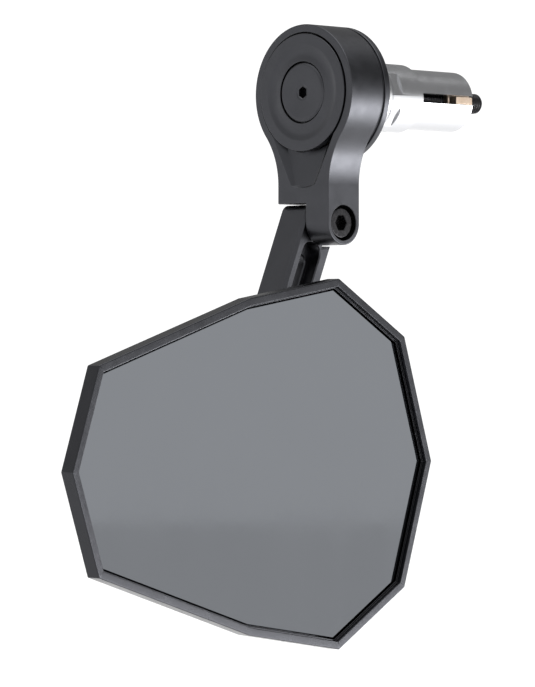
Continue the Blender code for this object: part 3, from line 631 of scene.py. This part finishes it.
def make_cap(looks):
    """Dished retaining cap on a threaded skirt, and the plug that closes its middle."""
    front, skirt_end = CAP_FRONT, CAP_HIGH.x
    back = RECESS_FLOOR - 1.0 * MM
    hole = PLUG_HIGH.z + GAP
    skirt, inner = 8.0 * MM, 6.6 * MM
    cap = lathe("fine_cap_disc", along_x(), [
        (back, CAP_RADIUS, 0.2 * MM), (front, CAP_RADIUS, 0.3 * MM), (front, 13.5 * MM, 2 * MM),
        (front + 0.36 * MM, 12.0 * MM, 5 * MM), (front + 0.36 * MM, 10.6 * MM, 8 * MM),
        (front + 0.08 * MM, hole, 0.2 * MM), (front + 1.9 * MM, hole),
        (front + 1.9 * MM, inner), (skirt_end, inner), (skirt_end, skirt), (back, skirt)])
    place(cap, "bar_clamp", looks["anodised_turned"])
    rear, shoulder = PLUG_HIGH.x, front + 1.6 * MM
    plug = lathe("fine_cap_plug", along_x(), [
        (rear, 0.0), (rear, 6.2 * MM), (shoulder, 6.2 * MM), (shoulder, PLUG_HIGH.z),
        (front + 0.45 * MM, PLUG_HIGH.z, 0.1 * MM), (front, PLUG_HIGH.z - 0.6 * MM, 0.3 * MM),
        (front + 0.02 * MM, 6.8 * MM, 3 * MM), (front + 0.16 * MM, 4.6 * MM, 8 * MM),
        (front + 0.16 * MM, 2.3 * MM, 0.3 * MM), (front + 0.36 * MM, 1.9 * MM, 0.1 * MM),
        (front + 0.36 * MM, 0.0)])
    floor = -(front + 0.36 * MM)
    carve(plug, key_socket(outboard() @ Matrix.Translation((0, 0, floor)), 3 * MM, 2.5 * MM, 0.1 * MM))
    place(plug, "bar_clamp", looks["anodised_turned"])


def washer(name, matrix, low, high, inner, outer, body, look, steps=TURN_STEPS):
    ring = lathe("fine_" + name, matrix, [(high, outer), (low, outer), (low, inner), (high, inner)],
                 edge=min(0.12 * MM, (high - low) / 3), steps=steps)
    place(ring, body, look)


def make_hub_rings(looks):
    """Rings between the hub and the arm, and the washer under the clamp bolt's head."""
    rings = [("bearing_bush", SPIGOT_RADIUS + GAP, "black_polymer"),
             ("front_friction_washer", 11.0 * MM, "bronze"),
             ("rear_friction_washer", 12.8 * MM, "bronze"),
             ("bolt_washer", BOLT_CREST + GAP, "black_steel")]
    for name, inner, slot in rings:
        low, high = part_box(name)
        washer(name, along_x(), low.x, high.x, inner, high.z, "bar_clamp", looks[slot])


# --- the ring arm -----------------------------------------------------------------------------------
def arm_outline():
    """Ring, hollow flanks tangent to it, and a parallel neck, drawn in the YZ plane."""
    reach = RING_RADIUS + NECK_FILLET
    centre_y = NECK_HALF + NECK_FILLET
    centre_z = -math.sqrt(reach ** 2 - centre_y ** 2)
    touch = math.degrees(math.atan2(centre_z, centre_y))
    bottom = KNUCKLE.z - ARM_THICK / 2 - 1 * MM
    right = arc((centre_y, centre_z), NECK_FILLET, 180, 180 + touch, 28)
    left = [(-y, z) for y, z in reversed(right)]
    over = arc((0, 0), RING_RADIUS, touch, 180 - touch, 120)[1:-1]
    return [(NECK_HALF, bottom)] + right + over + left + [(-NECK_HALF, bottom)]


def pocket_cutter():
    """A tapered pocket below the cap: its floor rises away from the ring between wide sloping sides."""
    top, bottom, bow = -8 * MM, -26 * MM, 0.9 * MM
    wide, narrow = 14.2 * MM, 4.8 * MM
    foot = [(narrow - 2 * narrow * i / 12, bottom - bow * (1 - (2 * i / 12 - 1) ** 2)) for i in range(13)]
    outline = [(wide, top)] + foot + [(-wide, top)]
    mouth = [(y, z, 0.0) for y, z in outline]
    above = [(y, z, -1 * MM) for y, z in outline]
    floor = []
    for y, z in [(wide, top)] + [(y * 0.86, z + 0.5 * MM) for y, z in foot] + [(-wide, top)]:
        rise = min(1.0, max(0.0, (z - bottom) / (top - bottom)))
        slope = (0.4 + 2.8 * rise) * MM * (1 if y > 0 else -1) * (abs(y) > narrow * 0.8)
        floor.append((y - slope, z, (0.55 + 2.3 * rise) * MM))
    return loft("pocket", side_plate(ARM_FRONT), [above, mouth, floor])


def make_upper_arm(looks):
    arm = stack("fine_upper_arm", side_plate(ARM_FRONT), arm_outline(), [(0.0, 0.0), (ARM_THICK, 0.0)])
    far = 30 * MM
    bottom = KNUCKLE.z - 12 * MM
    half_lap = stack("half_lap", side_plate(ARM_FRONT), [
        (LAP_Y, LEDGE_Z), (far, LEDGE_Z), (far, bottom), (LAP_Y, bottom)],
        [(-5 * MM, 0.0), (ARM_THICK + 5 * MM, 0.0)])
    wide, over = 9 * MM, 0.02 * MM
    lean = math.degrees(math.acos((ARM_THICK / 2 + over / 4) / (ARM_THICK / 2 + over)))
    tongue_end = stack("tongue_end", front_plate(KNUCKLE), [(-wide, 0.0)]
                       + arc((0, over), ARM_THICK / 2 + over, 180 + lean, 360 - lean, 48)
                       + [(wide, 0.0), (wide, -12 * MM), (-wide, -12 * MM)], [(-far, 0.0), (far, 0.0)])
    carve(arm, half_lap, tongue_end)
    round_edges(arm, 0.35 * MM)
    face = -ARM_FRONT
    cap_room = CAP_RADIUS + 0.35 * MM
    through = bore(outboard(), -ARM_BACK - 2 * MM, -RECESS_FLOOR, BUSH_RADIUS + GAP, 0.3 * MM)
    recess = bore(outboard(), -RECESS_FLOOR, face, cap_room, 0.15 * MM)
    counterbore = bore(front_plate(KNUCKLE), 4.0 * MM, NECK_HALF, 5.0 * MM, 0.18 * MM, SMALL_STEPS)
    bush_bore = bore(front_plate(KNUCKLE), -2 * MM, 4.0 * MM, 3.9 * MM, 0.2 * MM, SMALL_STEPS)
    carve(arm, through, recess, pocket_cutter(), counterbore, bush_bore)
    place(arm, "ring_arm", looks["anodised_black"])


# --- the knuckle ------------------------------------------------------------------------------------
def socket_cap_screw(name, matrix, head_radius, head_height, shank_radius, length, key, key_depth, pitch):
    """Head top at local 0 and shank towards local -Z, with a cut thread on the shank's far part."""
    start = -0.35 * length
    thread = cut_thread(start, shank_radius, pitch, 0.6 * pitch, -length + 0.5 * MM)
    count = round((length + start) / pitch * 10)
    threads = [(start - (length + start) * i / count, shank_radius, 0.0) for i in range(count + 1)]
    screw = lathe(name, matrix, [
        (0.0, 0.0), (0.0, head_radius, 0.35 * MM), (-head_height, head_radius, 0.1 * MM),
        (-head_height, shank_radius, 0.2 * MM)] + threads + [(-length, 0.0)],
        steps=SMALL_STEPS, shape=thread)
    return carve(screw, key_socket(matrix, key, key_depth))


def make_knuckle(looks):
    rest = NECK_HALF - 1.0 * MM
    screw = socket_cap_screw("fine_knuckle_screw", front_plate(KNUCKLE) @ Matrix.Translation((0, 0, rest)),
                             4.25 * MM, 4.7 * MM, 2.45 * MM, 17.4 * MM, 4 * MM, 2.6 * MM, 0.8 * MM)
    place(screw, "folding_arm", looks["black_steel"])
    low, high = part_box("knuckle_bush")
    washer("knuckle_bush", along_y(KNUCKLE), low.y, high.y, 2.75 * MM, high.x - KNUCKLE.x, "ring_arm",
           looks["bronze"], SMALL_STEPS)
    low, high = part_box("knuckle_washer")
    washer("knuckle_washer", along_y(KNUCKLE), low.y, high.y, 2.8 * MM, high.x - KNUCKLE.x, "folding_arm",
           looks["black_polymer"], SMALL_STEPS)
    low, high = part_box("knuckle_nut")
    frame_of_nut = along_y(KNUCKLE) @ Matrix.Rotation(TILT, 4, "Z")
    nut = stack("fine_knuckle_nut", frame_of_nut, hexagon(8 * MM), [(low.y, 0.0), (high.y, 0.0)])
    cone = lathe("nut_cone", frame_of_nut, [
        (high.y, 0.0), (high.y, 4.05 * MM), (high.y - 0.6 * MM, 5.0 * MM), (low.y + 0.6 * MM, 5.0 * MM),
        (low.y, 4.05 * MM), (low.y, 0.0)], edge=0.0)
    carve(nut, cone, operation="INTERSECT")
    hole = lathe("nut_thread", frame_of_nut, [(high.y + 1 * MM, 0.0), (high.y + 1 * MM, 3.3 * MM),
                 (high.y, 3.3 * MM), (high.y - 0.5 * MM, 2.75 * MM), (low.y - 1 * MM, 2.75 * MM),
                 (low.y - 1 * MM, 0.0)], edge=0.0, steps=SMALL_STEPS)
    carve(nut, hole)
    place(nut, "folding_arm", looks["black_steel"])


# --- the lower arm and its slider -------------------------------------------------------------------
def level(x, height):
    """Point of the lower arm's local frame at local x and at a height above the knuckle."""
    return x, (height + math.sin(TILT) * x) / math.cos(TILT)


def lower_outline():
    """A bar with a round foot, a shoulder level with the ledge above it and a notch under the tongue."""
    top = 90 + math.degrees(TILT)
    nose = arc((0, 0), KNUCKLE_END_RADIUS, -42, top, 40)
    corner = level(LOWER_LEFT + SHOULDER_FILLET, KNUCKLE_END_RADIUS - SHOULDER_FILLET)
    shoulder = arc(corner, SHOULDER_FILLET, top, 180, 20)
    half = (LOWER_RIGHT - LOWER_LEFT) / 2
    foot = arc((LOWER_LEFT + half, -(LOWER_END - half)), half, 180, 360, 48)
    notch = [level(LOWER_RIGHT, -NOTCH_DROP), level(3.9 * MM, -NOTCH_DROP)]
    return nose + shoulder + foot + notch


def make_lower_arm(looks):
    tilted = front_plate(KNUCKLE, TILT)
    front, back = -LOWER_FACE, -NECK_HALF
    chamfer, lip = 0.9 * MM, 0.3 * MM
    side = filleted([(back, 2 * chamfer), (back, chamfer), (back + chamfer, 0.0), (front - chamfer, 0.0),
                     (front, chamfer), (front, 2 * chamfer)], 0.25 * MM, closed=False)[1:-1]
    arm = stack("fine_lower_arm", tilted, lower_outline(), side)
    flared = [(front - WIDE_SLOT_DEPTH, 0.0), (front - lip, 0.0), (front, -lip), (front + 1 * MM, -lip)]
    wide = stack("wide_slot", tilted, slot_outline(SLOT_TOP, SLOT_BOTTOM, WIDE_SLOT), flared)
    ledge = front - WIDE_SLOT_DEPTH
    through = [(back - 1 * MM, -lip), (back, -lip), (back + lip, 0.0), (ledge - lip, 0.0), (ledge, -lip),
               (front, -lip)]
    narrow_outline = slot_outline(SLOT_TOP + 2.4 * MM, SLOT_BOTTOM, NARROW_SLOT)
    narrow = stack("narrow_slot", tilted, narrow_outline, through)
    screw_hole = bore(tilted, back - 1 * MM, front, 2.75 * MM, 0.0, SMALL_STEPS)
    washer_room = bore(tilted, front - 1.0 * MM, front, 4.6 * MM, lip, SMALL_STEPS)
    nut_room = stack("nut_room", tilted, hexagon(8.7 * MM), [
        (back - 1 * MM, -lip), (back, -lip), (back + lip, 0.0), (back + 5.0 * MM, 0.0)])
    carve(arm, wide, narrow, screw_hole, washer_room, nut_room)
    place(arm, "folding_arm", looks["anodised_black"])


def make_slider(looks):
    tilted = front_plate(STUD, TILT)
    low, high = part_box("slide_foot")
    outline = slot_outline(-3.5 * MM, 3.5 * MM, WIDE_SLOT - 2 * GAP)
    foot = stack("fine_slide_foot", tilted, outline, soft_levels(-high.y, -low.y, 0.25 * MM, 0.25 * MM))
    carve(foot, bore(tilted, -high.y - 1 * MM, -low.y, 2.25 * MM, 0.2 * MM, SMALL_STEPS))
    place(foot, "slider", looks["brass"])
    low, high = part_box("stud_washer")
    washer("stud_washer", along_y(STUD), low.y, high.y, 2.3 * MM, high.x - STUD.x, "slider",
           looks["black_steel"], SMALL_STEPS)
    low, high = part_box("stud_screw")
    top, pitch, shank = high.y, 0.7 * MM, 1.95 * MM
    start, end = 7.0 * MM, low.y
    thread = cut_thread(start, shank, pitch, 0.35 * MM, end + 0.4 * MM)
    count = round((start - end) / pitch * 10)
    threads = [(start - (start - end) * i / count, shank, 0.0) for i in range(count + 1)]
    under = top - 2.2 * MM
    dome = [(top - 2.0 * MM * math.sin(t) ** 2, 3.8 * MM * math.sin(t)) for t in
            [math.pi / 2 * i / 14 for i in range(8, 15)]]
    screw = lathe("fine_stud_screw", along_y(STUD), [(top, 0.0), (top, 2.2 * MM, 0.4 * MM)]
                  + [(along, radius, 0.0) for along, radius in dome if radius > 2.6 * MM]
                  + [(under, 3.8 * MM, 0.1 * MM), (under, shank, 0.1 * MM)] + threads + [(end, 0.0)],
                  steps=SMALL_STEPS, shape=thread)
    carve(screw, key_socket(along_y(STUD) @ Matrix.Translation((0, 0, top)), 2.5 * MM, 1.5 * MM, 0.12 * MM))
    place(screw, "slider", looks["black_steel"])


# --- the ball joint ---------------------------------------------------------------------------------
def sphere_arc(radius, low, high, steps):
    """(along, radius) points on a sphere about the ball's centre, from the high to the low station."""
    first, last = math.acos(high / radius), math.acos(low / radius)
    turns = [first + (last - first) * i / steps for i in range(steps + 1)]
    return [(radius * math.cos(t), abs(radius * math.sin(t)), 0.0) for t in turns]


def make_ball_joint(looks):
    ball_frame = along_y(BALL)
    low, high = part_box("ball_stud")
    collar_high = high.y - BALL.y
    collar_low, collar, neck, flats = 5.4 * MM, 4.6 * MM, 2.0 * MM, 4.0 * MM
    neck_low = math.sqrt(BALL_RADIUS ** 2 - neck ** 2)
    ball = sphere_arc(BALL_RADIUS, -BALL_RADIUS, neck_low, 40)[:-1]
    stud = lathe("fine_ball_stud", ball_frame, [
        (collar_high, 0.0), (collar_high, collar, 0.25 * MM), (collar_low, collar, 0.25 * MM),
        (collar_low, neck, 0.6 * MM), (neck_low, neck, 0.2 * MM)] + ball + [(-BALL_RADIUS, 0.0)],
        steps=SMALL_STEPS)
    cutters = []
    for side in (-1, 1):
        near, far = side * flats, side * 8 * MM
        box = [(near, -8 * MM), (far, -8 * MM), (far, 8 * MM), (near, 8 * MM)]
        cutters.append(stack(f"flat_{side + 2}", ball_frame, box,
                             [(collar_low - 0.2 * MM, 0.0), (collar_high + 1 * MM, 0.0)]))
    cutters.append(bore(ball_frame, collar_low + 0.4 * MM, collar_high, 2.25 * MM, 0.2 * MM, SMALL_STEPS))
    carve(stud, *cutters)
    place(stud, "stud", looks["black_steel"])
    low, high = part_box("ball_liner")
    bottom, top = low.y - BALL.y, high.y - BALL.y
    inner = BALL_RADIUS + GAP
    liner = lathe("fine_ball_liner", ball_frame, sphere_arc(high.x - BALL.x, bottom, top, 24)
                  + sphere_arc(inner, bottom, top, 24)[::-1], edge=0.0, steps=SMALL_STEPS)
    place(liner, "liner", looks["black_polymer"])


# --- the mirror head --------------------------------------------------------------------------------
def head_outline():
    """The ten-sided outline about the ball's axis."""
    upper = [(x * MM, z * MM) for x, z in HALF_OUTLINE]
    return upper + [(x, -z) for x, z in reversed(upper[1:-1])]


def screw_places():
    """Points on the boss face under each socket screw."""
    turns = [math.pi / 4 + i * 2 * math.pi / SOCKET_SCREWS for i in range(SOCKET_SCREWS)]
    return [Vector((BALL.x + SCREW_CIRCLE * math.cos(t), BOSS_TOP, BALL.z + SCREW_CIRCLE * math.sin(t)))
            for t in turns]


def make_housing(looks):
    """A tray with a narrow rim and a stepped opening, chamfered back edges and a turned boss."""
    depth = HEAD_BACK - HEAD_FRONT
    slope = depth - HEAD_WALL
    section = filleted([
        (-depth, 2 * slope), (-depth, slope, 0.3 * MM), (-HEAD_WALL, 0.0, 0.3 * MM), (0.0, 0.0, 0.3 * MM),
        (0.0, RIM_WIDTH, 0.12 * MM), (-STEP_DEPTH, RIM_WIDTH, 0.08 * MM),
        (-STEP_DEPTH, RIM_WIDTH + RIM_STEP, 0.08 * MM), (-FLOOR_DEPTH, RIM_WIDTH + RIM_STEP, 0.3 * MM),
        (-FLOOR_DEPTH, 2 * slope)], 0.0, closed=False)[1:-1]
    tray_frame = front_plate((BALL.x, HEAD_FRONT, BALL.z))
    housing = stack("fine_mirror_housing", tray_frame, head_outline(), section, corner=0.45 * MM)
    joint = along_y(BALL)
    top, base = BOSS_TOP - BALL.y, HEAD_BACK - BALL.y
    boss = lathe("boss", joint, [
        (top, 0.0), (top, BOSS_RADIUS, 0.4 * MM), (base + 1.5 * MM, BOSS_RADIUS, 1.5 * MM),
        (base, BOSS_RADIUS + 2.0 * MM, 0.0), (base - 0.7 * MM, BOSS_RADIUS + 2.0 * MM, 0.0),
        (base - 0.7 * MM, 0.0)], edge=0.0)
    seat_low = -4.6 * MM
    mouth = math.sqrt(SEAT_RADIUS ** 2 - top ** 2)
    seat_profile = ([(top + 1 * MM, 0.0), (top + 1 * MM, mouth, 0.0)]
                    + sphere_arc(SEAT_RADIUS, seat_low, top, 24) + [(seat_low, 0.0)])
    seat = lathe("seat", joint, seat_profile, edge=0.0, steps=SMALL_STEPS)
    taps = [bore(along_y(spot), -3.6 * MM, 0.0, 1.3 * MM, 0.2 * MM, 32) for spot in screw_places()]
    carve(housing, boss, operation="UNION")
    carve(housing, seat, *taps)
    # the head takes the darkened copy of the anodising: painted shade
    place(housing, "head", looks["anodised_head_painted_shade"])


def make_socket(looks):
    """The ring that holds the ball in its seat, and its small socket cap screws."""
    joint = along_y(BALL)
    low, high = RING_LOW.y - BALL.y, RING_HIGH.y - BALL.y
    clamp = lathe("fine_socket_ring", joint, [(high, BOSS_RADIUS, 0.5 * MM), (low, BOSS_RADIUS, 0.2 * MM)]
                  + sphere_arc(SEAT_RADIUS, low, high, 10)[::-1], edge=0.0)
    top = RING_HIGH.y - BOSS_TOP
    cutters = []
    for spot in screw_places():
        cutters.append(bore(along_y(spot), -1 * MM, top, 1.35 * MM, 0.0, 32))
        cutters.append(bore(along_y(spot), top - 1.2 * MM, top, 2.3 * MM, 0.12 * MM, 48))
    carve(clamp, *cutters)
    place(clamp, "head", looks["anodised_turned"])
    for i, spot in enumerate(screw_places()):
        low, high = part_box(f"socket_screw_{i + 1}")
        head_top = high.y - BOSS_TOP
        seat = along_y(spot) @ Matrix.Translation((0, 0, head_top))
        length = high.y - low.y
        screw = lathe(f"fine_socket_screw_{i + 1}", seat, [
            (0.0, 0.0), (0.0, 1.95 * MM, 0.3 * MM), (-1.1 * MM, 1.95 * MM, 0.08 * MM),
            (-1.1 * MM, 1.0 * MM, 0.1 * MM), (-length, 1.0 * MM, 0.2 * MM), (-length, 0.0)], steps=48)
        carve(screw, key_socket(seat, 1.5 * MM, 0.8 * MM, 0.08 * MM))
        place(screw, "head", looks["black_steel"])


def make_glass(looks):
    tray_frame = front_plate((BALL.x, HEAD_FRONT, BALL.z))
    margin = RIM_WIDTH + RIM_STEP + 0.35 * MM
    front, back = HEAD_FRONT - GLASS_LOW.y, HEAD_FRONT - GLASS_HIGH.y
    arris = 0.2 * MM
    outline = inset(head_outline(), margin)
    glass = stack("fine_mirror_glass", tray_frame, outline, [
        (back, 0.0), (front - arris, 0.0), (front, arris)], corner=0.3 * MM)
    place(glass, "head", looks["tinted_mirror"])
    low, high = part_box("glass_pad")
    pad = stack("fine_glass_pad", tray_frame, inset(outline, 1.5 * MM), soft_levels(
        HEAD_FRONT - high.y, HEAD_FRONT - low.y, 0.1 * MM, 0.1 * MM), corner=0.3 * MM)
    place(pad, "head", looks["adhesive_foam"])


# --- studio -----------------------------------------------------------------------------------------
def make_camera():
    """A long lens level with the arm, looking across the bar's end from the rider's left."""
    forward = Vector((math.cos(CAMERA_HEADING), math.sin(CAMERA_HEADING), 0.0))
    right = Vector((math.sin(CAMERA_HEADING), -math.cos(CAMERA_HEADING), 0.0))
    up = Vector((0.0, 0.0, 1.0))
    ring_face = Vector((ARM_FRONT, 0.0, 0.0))
    spot = ring_face - right * CAMERA_LEFT * MM - up * CAMERA_DOWN * MM - forward * CAMERA_BACK * MM
    data = bpy.data.cameras.new("camera")
    data.sensor_fit = "HORIZONTAL"
    data.sensor_width = CAMERA_SENSOR
    data.lens = CAMERA_LENS
    data.clip_end = CAMERA_CLIP
    camera = bpy.data.objects.new("camera", data)
    camera.location = spot
    camera.rotation_euler = forward.to_track_quat("-Z", "Y").to_euler()
    bpy.context.scene.collection.objects.link(camera)
    bpy.context.scene.camera = camera


def make_floor():
    """A pale studio floor, far below the object."""
    work = bmesh.new()
    bmesh.ops.create_circle(work, cap_ends=True, segments=128, radius=FLOOR_REACH)
    mesh = bpy.data.meshes.new("floor")
    work.to_mesh(mesh)
    work.free()
    floor = bpy.data.objects.new("floor", mesh)
    floor.location = (BALL.x, 0.0, BALL.z - FLOOR_DROP)
    bpy.context.scene.collection.objects.link(floor)
    look = Look("pale_floor", (0.86, 0.86, 0.86), 0.9, 0.0)
    look.tint(look.spread(look.noise(0.5), 0.0, 0.2), (0.84, 0.84, 0.84))
    floor.data.materials.append(look.mat)


def sky_ramp(tree, height, stops):
    """Brightness by height, from stops of (height from 0 at the nadir to 1 at the zenith, brightness)."""
    ramp = tree.nodes.new("ShaderNodeValToRGB")
    tree.links.new(height, ramp.inputs["Fac"])
    elements = ramp.color_ramp.elements
    for at, _ in stops[1:-1]:
        elements.new(at)
    for element, (_, value) in zip(elements, stops):
        element.color = (value / 2, value / 2, value / 2, 1.0)
    return ramp.outputs["Color"]


def make_world():
    """Soft studio surroundings, bright at the horizon and overhead, with a darker wall on the bar's side."""
    world = bpy.data.worlds.new("studio")
    world.use_nodes = True
    bpy.context.scene.world = world
    tree = world.node_tree
    background = tree.nodes["Background"]
    background.inputs["Color"].default_value = (1.0, 1.0, 1.0, 1.0)
    split = tree.nodes.new("ShaderNodeSeparateXYZ")
    tree.links.new(tree.nodes.new("ShaderNodeTexCoord").outputs["Generated"], split.inputs[0])
    height = tree.nodes.new("ShaderNodeMath")
    height.operation = "MULTIPLY_ADD"
    height.inputs[1].default_value = 0.5
    height.inputs[2].default_value = 0.5
    tree.links.new(split.outputs["Z"], height.inputs[0])
    open_side = [(0.0, 1.2), (0.50, 1.45), (0.54, 1.45), (0.62, 0.80), (0.80, 0.80), (0.90, 1.4), (1.0, 1.4)]
    bar_side = [(0.0, 1.2), (0.50, 1.45), (0.525, 1.45), (0.56, 0.26), (0.86, 0.26), (0.96, 1.2), (1.0, 1.5)]
    side = tree.nodes.new("ShaderNodeMapRange")
    side.interpolation_type = "SMOOTHSTEP"
    tree.links.new(split.outputs["X"], side.inputs["Value"])
    side.inputs["From Min"].default_value = 0.0
    side.inputs["From Max"].default_value = 0.45
    mix = tree.nodes.new("ShaderNodeMix")
    tree.links.new(side.outputs["Result"], mix.inputs["Factor"])
    for name, stops in (("A", open_side), ("B", bar_side)):
        lit = tree.nodes.new("ShaderNodeMath")
        lit.operation = "MULTIPLY"
        lit.inputs[1].default_value = 2.0
        tree.links.new(sky_ramp(tree, height.outputs[0], stops), lit.inputs[0])
        tree.links.new(lit.outputs[0], mix.inputs[name])
    seen = tree.nodes.new("ShaderNodeLightPath").outputs["Is Camera Ray"]
    blend = tree.nodes.new("ShaderNodeMix")
    tree.links.new(seen, blend.inputs["Factor"])
    tree.links.new(mix.outputs["Result"], blend.inputs["A"])
    blend.inputs["B"].default_value = 1.1
    tree.links.new(blend.outputs["Result"], background.inputs["Strength"])


def softbox(name, spot, target, width, height, power):
    data = bpy.data.lights.new(name, "AREA")
    data.shape = "RECTANGLE"
    data.size, data.size_y = width, height
    data.energy = power
    lamp = bpy.data.objects.new(name, data)
    lamp.location = spot
    lamp.rotation_euler = (Vector(target) - Vector(spot)).to_track_quat("-Z", "Y").to_euler()
    lamp.visible_camera = False
    bpy.context.scene.collection.objects.link(lamp)


def make_lights():
    middle = Vector((BALL.x, 0.0, BALL.z / 2))
    softbox("low_right", middle + Vector((1.75, -1.78, -0.80)), middle, 3.0, 0.86, 92.0)
    data = bpy.data.lights.new("overhead", "SUN")
    data.energy = 1.6
    data.angle = math.radians(70)
    lamp = bpy.data.objects.new("overhead", data)
    lamp.rotation_euler = (math.radians(12), math.radians(8), 0.0)
    bpy.context.scene.collection.objects.link(lamp)


def main():
    bpy.context.scene.view_settings.view_transform = "Standard"
    make_camera()
    make_floor()
    make_world()
    make_lights()
    looks = make_materials()
    make_sleeve(looks)
    make_wedge(looks)
    make_clamp_bolt(looks)
    make_hub(looks)
    make_cap(looks)
    make_hub_rings(looks)
    make_upper_arm(looks)
    make_knuckle(looks)
    make_lower_arm(looks)
    make_slider(looks)
    make_ball_joint(looks)
    make_housing(looks)
    make_socket(looks)
    make_glass(looks)


main()
bpy.context.view_layer.update()
